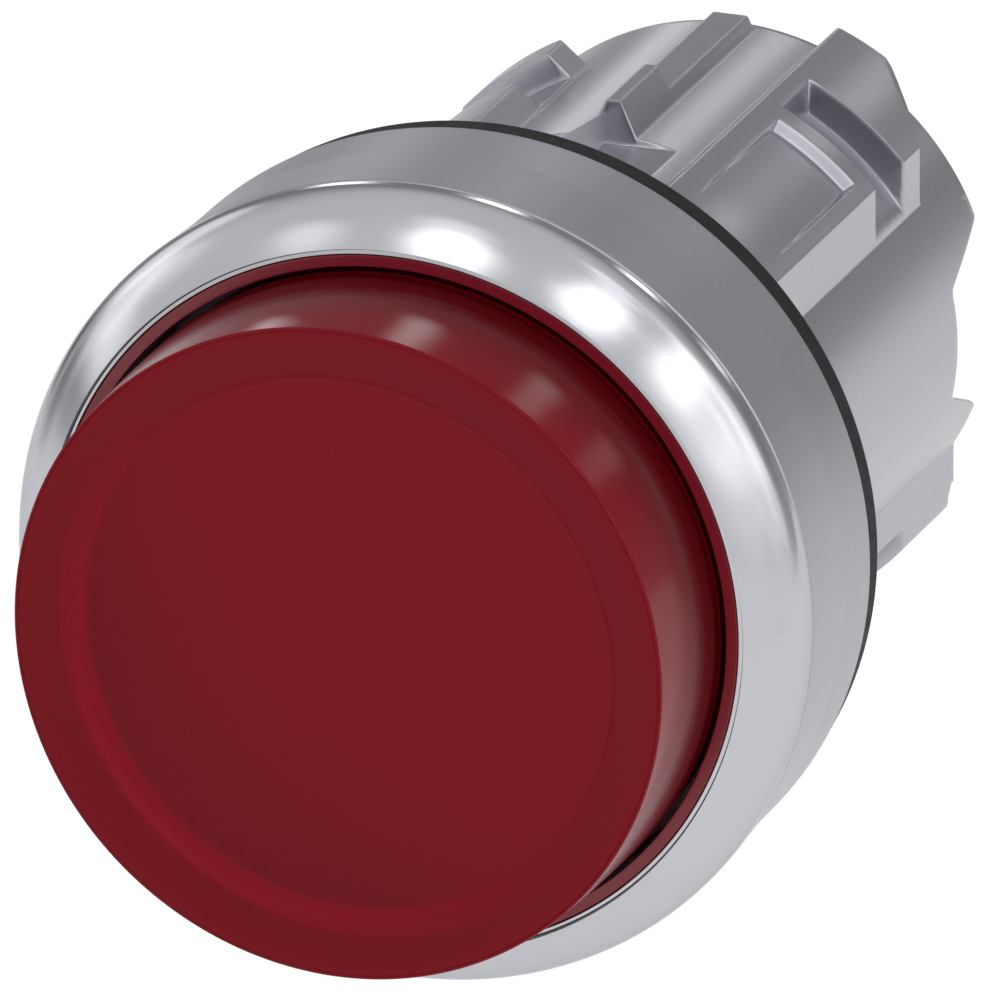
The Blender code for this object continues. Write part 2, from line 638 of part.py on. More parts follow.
def build():
    for obj in list(bpy.data.objects):
        bpy.data.objects.remove(obj)

    cast = material("satin_cast_metal", (0.30, 0.30, 0.32), 0.38, metallic=1.0)
    chrome = material("chrome", (0.78, 0.78, 0.80), 0.12, metallic=1.0)
    red_lens = material("red_translucent", (0.20, 0.008, 0.014), 0.38, transmission=0.25)
    rubber = material("black_rubber", (0.02, 0.021, 0.022), 0.65)
    acetal = material("white_acetal", (0.70, 0.70, 0.68), 0.45)
    black_plastic = material("black_plastic", (0.03, 0.03, 0.032), 0.5)
    opal = material("opal_plastic", (0.80, 0.80, 0.78), 0.5, transmission=0.3)
    clear = material("clear_plastic", (0.85, 0.87, 0.88), 0.1, transmission=0.9)
    steel = material("spring_steel", (0.45, 0.45, 0.46), 0.3, metallic=1.0)

    scene = bpy.context.scene.collection
    button = bpy.data.objects.new("button_slide", None)
    scene.objects.link(button)

    housing_part(cast, None)
    bezel_ring(chrome, None)
    lens_collar(red_lens, None)
    round_seal("bezel_seal", BEZEL_SEAL, rubber, None)
    panel_gasket(rubber, None)
    ring("stop_ring", STOP_RING_R, STOP_RING_Y, rubber, None)
    wiper_seal(rubber, None)
    ring("front_bush", BUSH_R, FRONT_BUSH_Y, black_plastic, None)
    ring("spring_washer", WASHER_R, WASHER_Y, steel, None)
    rear_bush(black_plastic, None)
    open_ring("retaining_ring", RETAINER_R, RETAINER_Y, RETAINER_GAP_DEG, steel, None)
    return_spring(steel, None)

    legend_y = LENS_INNER_Y + GAP
    diffuser_y = legend_y + LEGEND_THICK + GAP
    lens_cap(red_lens, button)
    disc("legend_disc", legend_y, LEGEND_THICK, opal, button)
    disc("diffuser_disc", diffuser_y, DIFFUSER_THICK, opal, button)
    round_seal("lens_seal", LENS_SEAL, rubber, button)
    button_carrier(acetal, button)
    open_ring("carrier_clip", CLIP_R, CLIP_Y, CLIP_GAP_DEG, steel, button, steps=24)
    light_guide(clear, button)
    plunger(acetal, button)
    pusher_ring(black_plastic, button)


build()
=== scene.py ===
"""Looks of the illuminated raised push button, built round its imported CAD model.

The button's axis is Y, the front faces -Y and the key rib stands at 12 o'clock, +Z. Lengths in
this file are millimetres and angles are degrees clockwise from +Z as seen from the front, except
where a name or a comment says otherwise. Every piece is a closed mesh. All but the thin gusset are
made of outlines set round the axis.
"""
import math

import bmesh
import bpy
import numpy as np
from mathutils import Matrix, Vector


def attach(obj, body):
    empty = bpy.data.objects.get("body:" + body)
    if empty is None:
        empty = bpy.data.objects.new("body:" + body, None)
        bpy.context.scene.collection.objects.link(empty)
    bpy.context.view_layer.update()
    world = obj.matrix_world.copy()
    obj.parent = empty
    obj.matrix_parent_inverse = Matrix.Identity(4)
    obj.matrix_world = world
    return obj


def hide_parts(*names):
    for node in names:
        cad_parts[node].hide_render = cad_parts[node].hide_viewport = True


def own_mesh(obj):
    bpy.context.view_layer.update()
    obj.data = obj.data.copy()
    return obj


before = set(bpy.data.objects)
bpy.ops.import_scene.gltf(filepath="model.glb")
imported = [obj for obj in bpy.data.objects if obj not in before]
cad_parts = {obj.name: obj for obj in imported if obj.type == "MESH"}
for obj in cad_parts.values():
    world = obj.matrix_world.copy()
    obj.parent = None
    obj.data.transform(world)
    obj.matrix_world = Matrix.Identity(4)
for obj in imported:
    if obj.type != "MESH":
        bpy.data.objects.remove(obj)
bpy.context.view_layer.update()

MM = 0.001

# Columns round the axis, points round a cord and round the spring's wire, and steps in a spring's turn
ROUND_COLUMNS = 240
SMALL_COLUMNS = 128
OPEN_RING_COLUMNS = 180
CORD_POINTS = 20
WIRE_POINTS = 14
TURN_STEPS = 60

# Edges sharper than this, in radians, are shaded as edges
SHARP_ANGLE = math.radians(32)

# Least sine or cosine that a distance is divided by
LEAST_SHARE = 0.05

# Widening of an open ring's ends: angle that the lug takes, and over which it fades
LUG_DEG = 9.0
LUG_FADE_DEG = 6.0

# Lens cap
LENS_FRONT_Y = -16.15
LENS_FRONT_R = 12.07
LENS_BASE_R = 12.18
LENS_BASE_Y = -10.25
LENS_SIDE_R = 12.14
LENS_SIDE_Y = -14.0
LENS_NECK_R = 12.0
LENS_REAR_Y = -8.2
LENS_INNER_R = 11.15
LENS_INNER_Y = -14.9
LENS_RIM_R = 11.7
DISH_EDGE = (10.25, -15.80)
DISH_FLOOR_R = 9.9
DISH_FLOOR_Y = -15.5

# Collar round the cap, and the chrome ring in front of the flange
COLLAR_INNER_R = 12.38
COLLAR_OUTER_R = 12.82
COLLAR_FRONT_Y = -10.42
BEZEL_R = 14.75
BEZEL_FACE_START = (13.06, -10.53)
BEZEL_RIM_Y = -8.35
BEZEL_REAR_Y = -8.05
BEZEL_SPIGOT_R = (13.05, 13.75)
BEZEL_SPIGOT_REAR_Y = -6.6
BEZEL_LIP_R = 12.84
BEZEL_FACE_STEPS = 64

# Return spring: ends, wire and turns
SPRING_FRONT_Y = 6.1
SPRING_REAR_Y = 15.1
SPRING_WIRE_R = 0.35
SPRING_MEAN_R = 7.3
SPRING_TURNS = 6.0
SPRING_END_GAP = 0.12

# Plunger's key and the keyway of the rear bush
TUBE_R = 6.2
KEY_TOP_R = 6.75
KEY_END_Y = 20.0
KEYWAY_DEPTH = 0.55

# Flange and bores of the housing
FLANGE_FRONT_Y = -7.9
FLANGE_STEP_Y = -4.0
FLANGE_REAR_Y = -1.3
FLANGE_R = (14.72, 14.50, 14.48)
SPIGOT_BORE_R = 14.0
LEDGE_Y = -5.4
CAVITY_R = 12.9
CAVITY_FLOOR_Y = -2.5
WIPER_BORE_R = 8.9
WIPER_BORE_Y = -0.75
BORE_R = 8.5
RING_GROOVE_R = 9.05
RING_GROOVE_Y = (19.1, 20.2)

# Barrel of the housing
BARREL_R = 9.8
BARREL_REAR_Y = 24.7
RIM_FILLET = 0.15
PAD_R = 11.1
PAD_SIDE_X = 8.34
PAD_SIDE_DEG = math.degrees(math.asin(PAD_SIDE_X / PAD_R))
PAD_SIDE_END_DEG = math.degrees(math.asin(PAD_SIDE_X / BARREL_R))
RIGHT_FLANK = (18.7, 21.8)
LEFT_FLANK = (24.5, 27.6)
SLOT_FLOOR_R = 9.95
RIGHT_SLOT_Y = (16.35, 19.2)
RIGHT_SLOT_X = 4.75
LOWER_SLOT_Z = 6.6
LEFT_SLOT_Y = (15.8, 19.05)
LEFT_REAR_Y = 20.7
PAD_REAR_Y = 24.1
SLOPE_START_DEG = 33.0
SLOPE_END_Y = 21.0
UPPER_END_DEG = 64.0
LOWER_END_DEG = 54.0
WINDOW_Y = (7.7, 15.3)
WINDOW_WALL = 0.3
WINDOW_DEG = (27.0, 45.4)
WINDOW_DEPTH = 0.4

# Key rib, its low rear part, the pocket in front of it and the locating nib
RIB_TOP_Z = 11.1
RIB_TOP_HALF = 0.28
RIB_BASE_Z = 9.75
RIB_BASE_HALF = 0.9
RIB_Y = (11.9, 16.0)
LOW_RIB_Z = 10.27
LOW_RIB_REAR_Y = 24.2
POCKET_Z = 9.49
POCKET_FRONT_Y = 2.6
NIB_HALF_X = 1.4
NIB_TOP_Z = 12.5
NIB_REAR_Y = 1.6
KEY_REACH_DEG = 16.0

# Notches in the barrel's rear end
NOTCH_FRONT_Y = 21.0
NOTCH_HALF_FRONT = 2.05
NOTCH_SLOPE = 0.404

# Angles where the edges of the rib, pocket and nib and those of the notches run along the barrel,
# and the radius at which a lower slot's wall meets the flat side
KEY_EDGES_DEG = (1.45, 3.68, 5.27, 6.3, 8.2, 14.45)
NOTCH_EDGES_DEG = (12.1, 13.9, 21.2, 24.6)
LOWER_SLOT_CORNER_R = 10.63

# Rows that lie this near in front of the pads' rear ends and behind them move with those ends, which
# stay this far in front of the barrel's rear end
ROW_GUARD = 0.25
ROW_REACH = 0.3
END_CLEARANCE = 0.6

# Pusher ring: front, rear of the ring and of its feet, and a foot's half-width and soft edge
PUSHER_Y = (20.4, 21.8, 24.3)
FOOT_HALF_DEG = 15.2
FOOT_EDGE_DEG = 0.5

# Camera: azimuth to the right of the axis and elevation above it, the height it frames, and how far
# it stands to the right of the line through the origin and above it
CAMERA_AZIMUTH = 20.2
CAMERA_ELEVATION = 20.3
FRAME_HEIGHT = 35.25
CAMERA_OFFSET = (0.02, 0.15)
CAMERA_LENS = 1700.0
SENSOR_WIDTH = 36.0
CAMERA_NEAR_M = 0.1

# Floor: a disc, with its middle behind the object
FLOOR_SIDES = 96
FLOOR_RADIUS = 450.0
FLOOR_Z = -62.0
FLOOR_CENTRE_Y = 350.0

# Studio room: (height, grey level) from straight down (0) to straight up (1), in front and behind
FRONT_ROOM = ((0.0, 1.0), (0.42, 1.0), (0.50, 0.82), (0.58, 0.80), (0.85, 0.80), (1.0, 0.78))
BACK_ROOM = ((0.0, 1.0), (0.38, 0.95), (0.48, 0.46), (0.60, 0.30), (0.74, 0.33), (1.0, 0.78))

# Light panels of the room: azimuth, elevation, half-width of the core and of the glow, added level
FRONT_PANELS = (
    (-15, 55, 1, 11, 2.1), (-21, 67, 3, 10, 0.6), (-55, 44, 1, 9, 0.6), (29, 47, 1, 9, 1.9),
    (41, 52, 2, 9, 1.5), (54, 57, 3, 8, 1.0), (74, 61, 3, 8, 0.8), (98, 64, 3, 8, 0.75),
    (95, 52, 3, 8, 0.25),
)
RIGHT_PANELS = (
    (46, 31, 2, 8, 0.9), (53, 34.5, 2, 8, 0.9), (60, 37, 2, 8, 0.9), (68.5, 39, 2, 8, 0.85),
    (77, 40, 2, 8, 0.8), (85.5, 41, 2, 8, 0.8), (94, 41, 2, 8, 0.85),
    (58, 23, 8, 17, 0.6), (80, 25, 8, 17, 0.55), (98, 25, 8, 17, 0.55),
    (60, 9, 7, 15, 0.3), (80, 9, 7, 15, 0.3), (98, 9, 7, 15, 0.35),
)
LEFT_PANELS = (
    (-88, 24, 4, 11, 0.35), (-84, 9, 2, 9, 0.6), (-97, 15, 5, 14, 0.6), (-115, 21, 9, 17, 0.8),
    (-88, -1, 3, 8, -0.4), (-102, -2, 3, 9, -0.4), (-125, -5, 3, 9, -0.35),
)
BACK_PANELS = (
    (-154, 12, 1, 4, 4.2), (-170, 28, 1, 4, 5.0), (166, 26, 1, 4, 3.4), (155, 16, 1, 4, 1.6),
)

# Part of the noise's range that is used, from the darkest to the lightest
NOISE_RANGE = (0.3, 0.7)

# Directions in a piece's own coordinates
ALONG_AXIS = (0.0, 1.0, 0.0)
UP_RIGHT = (0.707, 0.0, 0.707)

# Factors on the cap's red, each (position in millimetres, factor): by station along the axis, painted
# shade that deepens towards the base with a painted highlight line at its edge; by radius; and painted
# light by radius about a centre off the axis, a bright crescent along the lower left of the dish with
# painted shade just inside it, which fades out towards the upper right
PAINTED_LIGHT_AND_SHADE_BY_DEPTH = (
    (-15.6, 1.0), (-14.4, 0.9), (-12.2, 0.52), (-10.62, 0.30), (-10.5, 0.30), (-10.42, 1.1),
    (-10.2, 1.1),
)
RED_BY_RADIUS = ((9.0, 1.0), (10.2, 1.0), (10.28, 0.85), (11.6, 0.87), (12.1, 1.0))
PAINTED_LIGHT_CENTRE = (0.42, 0.42)
PAINTED_LIGHT_BY_RADIUS = ((4.0, 0.96), (8.8, 0.84), (9.9, 0.82), (10.1, 1.14), (10.9, 1.26), (10.95, 1.0))
PAINTED_LIGHT_FADE = ((-6.0, 0.0), (1.5, 1.0))
FADED_PAINTED_LIGHT = 1.05

# Roughness of the cap by radius, from its face to its side
CAP_ROUGHNESS = ((9.0, 0.5), (11.9, 0.5), (12.0, 0.16), (12.3, 0.18))

# Factor on the cast metal's roughness by station along the axis
CAST_ROUGHNESS = ((-1.4, 1.35), (-1.2, 1.0))

# Fine grid on which the barrel's edges are rounded, and the width of that rounding
GRID_DEG = 0.1
GRID_Y = 0.02
EDGE_WIDTH = 0.035

# Coarser grid on which the notches' edges are rounded, and the width of that rounding in its steps
END_GRID_DEG = 0.5
END_BLUR = 1.2

# Merging distance of a mesh's points in metres, the longest guard beside a fillet, and the largest
# turn from one of a fillet's points to the next
MERGE_M = 2e-7
FILLET_GUARD = 0.06
FILLET_STEP = math.radians(18)


# ---------------------------------------------------------------- mesh building

def finish_mesh(name, points, faces, mat):
    """Object in metres from points in millimetres, with its faces pointing out."""
    mesh = bpy.data.meshes.new(name)
    mesh.from_pydata((np.asarray(points) * MM).tolist(), [], faces)
    bm = bmesh.new()
    bm.from_mesh(mesh)
    bmesh.ops.remove_doubles(bm, verts=bm.verts, dist=MERGE_M)
    bmesh.ops.recalc_face_normals(bm, faces=bm.faces)
    bm.to_mesh(mesh)
    bm.free()
    mesh.shade_smooth()
    mesh.set_sharp_from_angle(angle=SHARP_ANGLE)
    mesh.materials.append(mat)
    obj = bpy.data.objects.new(name, mesh)
    bpy.context.scene.collection.objects.link(obj)
    return obj


def polar_mesh(name, degrees, radius, along, mat, wrap=True):
    """Surface whose column i is the outline (radius[i], along[i]) at the angle degrees[i]."""
    columns = len(degrees)
    rows = np.shape(radius)[-1]
    radius = np.broadcast_to(radius, (columns, rows))
    along = np.broadcast_to(along, (columns, rows))
    angle = np.radians(degrees)[:, None]
    points = np.stack([radius * np.sin(angle), along, radius * np.cos(angle)], axis=-1)
    on_axis = radius[0, 0] == 0.0 and radius[0, -1] == 0.0
    column = np.arange(columns if wrap else columns - 1)[:, None]
    row = np.arange(rows - 1 if on_axis else rows)[None, :]
    here, there = column * rows, (column + 1) % columns * rows
    following = (row + 1) % rows
    faces = np.stack([here + row, there + row, there + following, here + following], axis=-1)
    faces = faces.reshape(-1, 4).tolist()
    if not wrap:
        faces.append(list(range(rows)))
        faces.append(list(range(columns * rows - 1, (columns - 1) * rows - 1, -1)))
    return finish_mesh(name, points.reshape(-1, 3), faces, mat)


def rounded(corners, closed=True):
    """(radius, y) points of an outline of (radius, y, fillet) corners.

    A point on each side of a fillet keeps the shading of the flat beside it flat.
    """
    points = []
    count = len(corners)
    for i, (radius, y, fillet) in enumerate(corners):
        corner = Vector((radius, y))
        if fillet == 0.0 or (not closed and i in (0, count - 1)):
            points.append(corner)
            continue
        before = Vector(corners[i - 1][:2]) - corner
        after = Vector(corners[(i + 1) % count][:2]) - corner
        half = before.angle(after) / 2
        reach = min(fillet / math.tan(half), 0.45 * before.length, 0.45 * after.length)
        arc_r = reach * math.tan(half)
        middle = (before.normalized() + after.normalized()).normalized()
        centre = corner + middle * (arc_r / math.sin(half))
        start = corner + before.normalized() * reach
        end = corner + after.normalized() * reach
        first = math.atan2(*(start - centre).yx)
        sweep = (math.atan2(*(end - centre).yx) - first + math.pi) % math.tau - math.pi
        steps = max(3, math.ceil(abs(sweep) / FILLET_STEP))
        guards = [min(FILLET_GUARD, 0.5 * (0.5 * side.length - reach)) for side in (before, after)]
        points.append(start + before.normalized() * guards[0])
        for k in range(steps + 1):
            turn = first + sweep * k / steps
            points.append(centre + Vector((math.cos(turn), math.sin(turn))) * arc_r)
        points.append(end + after.normalized() * guards[1])
    return np.array([tuple(p) for p in points])


def turned(name, corners, mat, columns=ROUND_COLUMNS):
    """Solid of revolution from an outline of (radius, y, fillet) corners."""
    outline = rounded(corners)
    degrees = np.arange(columns) * 360.0 / columns
    return polar_mesh(name, degrees, outline[:, 0], outline[:, 1], mat)


def ring_corners(radii, y_range, fillet):
    """Rectangular section of a ring."""
    inner, outer = radii
    front, rear = y_range
    return [(inner, front, fillet), (outer, front, fillet),
            (outer, rear, fillet), (inner, rear, fillet)]


def stations(start, stop, step, edges, spread, count):
    """Coarse stations from start to stop, and count fine ones within spread of each edge."""
    fine = np.concatenate([edge + np.linspace(-spread, spread, count) for edge in edges])
    values = np.sort(np.concatenate([np.arange(start, stop, step), fine]))
    values = values[(values >= start) & (values < stop)]
    kept = [values[0]]
    for value in values[1:]:
        if value - kept[-1] > spread / count:
            kept.append(value)
    return np.array(kept)


# ---------------------------------------------------------------- materials

def shader_of(mat):
    """The one shader of a material."""
    return mat.node_tree.nodes["Principled BSDF"]


def principled(name, colour, roughness, metallic=0.0, **sockets):
    """Material with one shader; a socket's name is written with _ for each space."""
    mat = bpy.data.materials.new(name)
    mat.use_nodes = True
    shader = shader_of(mat)
    shader.inputs["Base Color"].default_value = (*colour, 1.0)
    shader.inputs["Roughness"].default_value = roughness
    shader.inputs["Metallic"].default_value = metallic
    for socket, value in sockets.items():
        shader.inputs[socket.replace("_", " ")].default_value = value
    return mat


def object_noise(mat, size, detail=2.0):
    """Noise in the piece's own coordinates; size is a feature's size in millimetres."""
    nodes, links = mat.node_tree.nodes, mat.node_tree.links
    coords = nodes.new("ShaderNodeTexCoord")
    noise = nodes.new("ShaderNodeTexNoise")
    noise.inputs["Scale"].default_value = 1.0 / (size * MM)
    noise.inputs["Detail"].default_value = detail
    links.new(coords.outputs["Object"], noise.inputs["Vector"])
    return noise.outputs["Fac"]


def spread_to(mat, source, low, high):
    """Noise mapped to the range low to high."""
    node = mat.node_tree.nodes.new("ShaderNodeMapRange")
    node.inputs["From Min"].default_value = NOISE_RANGE[0]
    node.inputs["From Max"].default_value = NOISE_RANGE[1]
    node.inputs["To Min"].default_value = low
    node.inputs["To Max"].default_value = high
    mat.node_tree.links.new(source, node.inputs["Value"])
    return node.outputs["Result"]


def vary_colour(mat, size, dark, light, detail=2.0):
    """Let the colour wander between dark and light over patches of the given size."""
    nodes, links = mat.node_tree.nodes, mat.node_tree.links
    mix = nodes.new("ShaderNodeMix")
    mix.data_type = "RGBA"
    mix.inputs["A"].default_value = (*dark, 1.0)
    mix.inputs["B"].default_value = (*light, 1.0)
    links.new(spread_to(mat, object_noise(mat, size, detail), 0.0, 1.0), mix.inputs["Factor"])
    links.new(mix.outputs["Result"], shader_of(mat).inputs["Base Color"])


def vary_roughness(mat, size, low, high):
    """Let the roughness wander between low and high over patches of the given size."""
    target = shader_of(mat).inputs["Roughness"]
    mat.node_tree.links.new(spread_to(mat, object_noise(mat, size), low, high), target)


def add_grain(mat, size, height):
    """Surface grain as a bump; size and height are in millimetres."""
    nodes, links = mat.node_tree.nodes, mat.node_tree.links
    bump = nodes.new("ShaderNodeBump")
    bump.inputs["Strength"].default_value = 1.0
    bump.inputs["Distance"].default_value = height * MM
    links.new(object_noise(mat, size, detail=1.0), bump.inputs["Height"])
    links.new(bump.outputs["Normal"], shader_of(mat).inputs["Normal"])


def metal(name, dark, light, roughness):
    """Fine-grained satin metal."""
    mat = principled(name, dark, roughness, metallic=1.0)
    vary_colour(mat, 0.12, dark, light)
    vary_roughness(mat, 0.1, roughness - 0.02, roughness + 0.02)
    add_grain(mat, 0.06, 0.0012)
    return mat


def cast_metal():
    """Die-cast metal, a little duller on the flange than on the barrel."""
    mat = metal("cast_metal", (0.395, 0.39, 0.43), (0.425, 0.42, 0.465), 0.32)
    links = mat.node_tree.links
    duller = mat.node_tree.nodes.new("ShaderNodeMath")
    duller.operation = "MULTIPLY"
    target = shader_of(mat).inputs["Roughness"]
    links.new(target.links[0].from_socket, duller.inputs[0])
    links.new(curve_of(mat, distance_along(mat, ALONG_AXIS), CAST_ROUGHNESS), duller.inputs[1])
    links.new(duller.outputs["Value"], target)
    return mat


def painted_light_metal():
    """Paler, rougher copy of the cast metal: painted light on the thin fin and on the tube behind the
    collar, which lies in the gap's shade.
    """
    return metal("painted_light_metal", (0.76, 0.76, 0.80), (0.82, 0.82, 0.86), 0.5)


def chrome():
    """Polished chrome, greyer where it is seen at a glancing angle."""
    mat = principled("chrome", (0.525, 0.53, 0.56), 0.16, metallic=1.0,
                     Specular_Tint=(0.74, 0.74, 0.76, 1.0))
    vary_colour(mat, 3.0, (0.52, 0.525, 0.555), (0.535, 0.54, 0.57))
    vary_roughness(mat, 1.0, 0.15, 0.17)
    add_grain(mat, 0.08, 0.0004)
    return mat


def scaled_by(mat, factor):
    """Multiply the colour by a grey factor."""
    links = mat.node_tree.links
    target = shader_of(mat).inputs["Base Color"]
    scale = mat.node_tree.nodes.new("ShaderNodeVectorMath")
    scale.operation = "SCALE"
    links.new(target.links[0].from_socket, scale.inputs[0])
    links.new(factor, scale.inputs["Scale"])
    links.new(scale.outputs["Vector"], target)


def curve_of(mat, source, stops):
    """Value read off straight lines between (position, value) stops."""
    nodes, links = mat.node_tree.nodes, mat.node_tree.links
    low, high = stops[0][0], stops[-1][0]
    share = nodes.new("ShaderNodeMapRange")
    share.inputs["From Min"].default_value = low
    share.inputs["From Max"].default_value = high
    links.new(source, share.inputs["Value"])
    ramp = nodes.new("ShaderNodeValToRGB")
    while len(ramp.color_ramp.elements) < len(stops):
        ramp.color_ramp.elements.new(0.5)
    for element, (position, value) in zip(ramp.color_ramp.elements, stops):
        element.position = (position - low) / (high - low)
        element.color = (value, value, value, 1.0)
    links.new(share.outputs["Result"], ramp.inputs["Fac"])
    return ramp.outputs["Color"]


def distance_along(mat, towards):
    """Millimetres along a direction in the piece's own coordinates."""
    nodes, links = mat.node_tree.nodes, mat.node_tree.links
    coords = nodes.new("ShaderNodeTexCoord")
    along = nodes.new("ShaderNodeVectorMath")
    along.operation = "DOT_PRODUCT"
    along.inputs[1].default_value = Vector(towards) / MM
    links.new(coords.outputs["Object"], along.inputs[0])
    return along.outputs["Value"]


def distance_about(mat, centre):
    """Millimetres from the line along Y through an (x, z) point in the piece's own coordinates."""
    nodes, links = mat.node_tree.nodes, mat.node_tree.links
    coords = nodes.new("ShaderNodeTexCoord")
    across = nodes.new("ShaderNodeVectorMath")
    across.operation = "MULTIPLY_ADD"
    across.inputs[1].default_value = (1.0 / MM, 0.0, 1.0 / MM)
    across.inputs[2].default_value = (-centre[0], 0.0, -centre[1])
    links.new(coords.outputs["Object"], across.inputs[0])
    length = nodes.new("ShaderNodeVectorMath")
    length.operation = "LENGTH"
    links.new(across.outputs["Vector"], length.inputs[0])
    return length.outputs["Value"]


def red_lens(name, dark, light, specular):
    """Moulded red plastic with a faint grain."""
    mat = principled(name, dark, 0.2, Specular_IOR_Level=specular)
    vary_colour(mat, 0.07, dark, light, detail=1.0)
    vary_roughness(mat, 0.5, 0.19, 0.22)
    add_grain(mat, 0.07, 0.0008)
    return mat


def cap_red():
    """Lens red with painted shade that deepens towards the base, and painted light that gathers along
    the lower left of the dish.
    """
    mat = red_lens("red_lens", (0.160, 0.0002, 0.0052), (0.180, 0.0004, 0.0066), 0.14)
    links = mat.node_tree.links
    # Painted shade that deepens towards the base, with a painted highlight line at the base's edge
    scaled_by(mat, curve_of(mat, distance_along(mat, ALONG_AXIS), PAINTED_LIGHT_AND_SHADE_BY_DEPTH))
    radius = distance_about(mat, (0.0, 0.0))
    scaled_by(mat, curve_of(mat, radius, RED_BY_RADIUS))
    # Painted light about a centre off the axis: a bright crescent along the lower left of the dish with
    # painted shade inside it, evened out towards the upper right
    mix = mat.node_tree.nodes.new("ShaderNodeMix")
    links.new(curve_of(mat, distance_along(mat, UP_RIGHT), PAINTED_LIGHT_FADE), mix.inputs["Factor"])
    links.new(curve_of(mat, distance_about(mat, PAINTED_LIGHT_CENTRE), PAINTED_LIGHT_BY_RADIUS), mix.inputs["A"])
    mix.inputs["B"].default_value = FADED_PAINTED_LIGHT
    scaled_by(mat, mix.outputs["Result"])
    links.new(curve_of(mat, radius, CAP_ROUGHNESS), shader_of(mat).inputs["Roughness"])
    return mat


def rubber():
    """Matt black rubber."""
    mat = principled("black_rubber", (0.012, 0.0125, 0.013), 0.62, Specular_IOR_Level=0.2)
    vary_colour(mat, 0.6, (0.010, 0.0105, 0.011), (0.015, 0.0155, 0.016))
    vary_roughness(mat, 0.4, 0.55, 0.7)
    add_grain(mat, 0.09, 0.004)
    return mat


def plastic(name, dark, light, roughness, **sockets):
    """Moulded plastic with a fine grain."""
    mat = principled(name, dark, roughness, **sockets)
    vary_colour(mat, 1.5, dark, light)
    vary_roughness(mat, 0.5, roughness - 0.05, roughness + 0.05)
    add_grain(mat, 0.12, 0.002)
    return mat


def spring_steel():
    """Bright drawn or stamped steel."""
    mat = principled("spring_steel", (0.42, 0.42, 0.43), 0.28, metallic=1.0)
    vary_colour(mat, 0.8, (0.38, 0.38, 0.39), (0.48, 0.48, 0.49))
    vary_roughness(mat, 0.3, 0.22, 0.34)
    add_grain(mat, 0.05, 0.0008)
    return mat


# ---------------------------------------------------------------- housing

def line_radius(start, end, sine, cosine):
    """Radius at which a ray from the axis meets the line through two (x, z) points."""
    normal_x, normal_z = end[1] - start[1], start[0] - end[0]
    return (normal_x * start[0] + normal_z * start[1]) / (normal_x * sine + normal_z * cosine)


def polar(radius, degrees):
    """(x, z) of a point."""
    angle = math.radians(degrees)
    return radius * math.sin(angle), radius * math.cos(angle)


def folded(sine, cosine):
    """Angle from the nearest of 12 and 6 o'clock, in degrees from 0 to 90."""
    return np.degrees(np.arctan2(np.abs(sine), np.abs(cosine)))


def near_top(degrees, radius, half_width):
    """Columns whose points at the given radius lie within half_width of 12 o'clock."""
    angle = np.radians(degrees)[:, None]
    return (np.abs(np.sin(angle)) * radius < half_width) & (np.cos(angle) > 0)


def upper_rear(fold):
    """Rear end of the upper right pad: straight, then sloping forward to its flat side."""
    return np.interp(fold, [SLOPE_START_DEG, PAD_SIDE_DEG, PAD_SIDE_END_DEG, UPPER_END_DEG],
                     [PAD_REAR_Y, SLOPE_END_Y, SLOPE_END_Y, PAD_REAR_Y])


def lower_rear(fold):
    """Rear end of the lower right pad, which reaches the barrel's end on its flat side."""
    return np.interp(fold, [PAD_SIDE_DEG, LOWER_END_DEG], [PAD_REAR_Y - 0.05, BARREL_REAR_Y + 0.1])


def pad_radius(fold, flank):
    """Outer radius of a raised pad: a flank, a round top and a flat side."""
    sine, cosine = np.sin(np.radians(fold)), np.cos(np.radians(fold))
    rising = line_radius(polar(BARREL_R, flank[0]), polar(PAD_R, flank[1]), sine, cosine)
    side = PAD_SIDE_X / np.maximum(sine, LEAST_SHARE)
    return np.where(fold < flank[1], rising, np.minimum(PAD_R, side))


def slotted(surface, fold, upper):
    """Radius inside a right-hand slot, walled by the planes x = RIGHT_SLOT_X and z = LOWER_SLOT_Z."""
    sine, cosine = np.sin(np.radians(fold)), np.cos(np.radians(fold))
    wall = RIGHT_SLOT_X / np.maximum(sine, LEAST_SHARE)
    lower_wall = np.where(upper, 0.0, LOWER_SLOT_Z / np.maximum(cosine, LEAST_SHARE))
    return np.minimum(surface, np.maximum(SLOT_FLOOR_R, np.maximum(wall, lower_wall)))


def key_radius(fold, y, surface):
    """Outer radius round 12 o'clock, with the pocket, the rib and the nib."""
    sine, cosine = np.sin(np.radians(fold)), np.cos(np.radians(fold))
    in_pocket = (y > POCKET_FRONT_Y) & (y < RIB_Y[0])
    surface = np.where(in_pocket, np.minimum(surface, POCKET_Z / cosine), surface)
    flank = line_radius((RIB_TOP_HALF, RIB_TOP_Z), (RIB_BASE_HALF, RIB_BASE_Z), sine, cosine)
    tall = (y > RIB_Y[0]) & (y < RIB_Y[1])
    low = (y >= RIB_Y[1]) & (y < LOW_RIB_REAR_Y)
    top = np.where(tall, RIB_TOP_Z, np.where(low, LOW_RIB_Z, 0.0))
    surface = np.maximum(surface, np.minimum(top / cosine, flank))
    nib = np.minimum(NIB_TOP_Z / cosine, NIB_HALF_X / np.maximum(sine, 1e-3))
    return np.where(y < NIB_REAR_Y, np.maximum(surface, nib), surface)


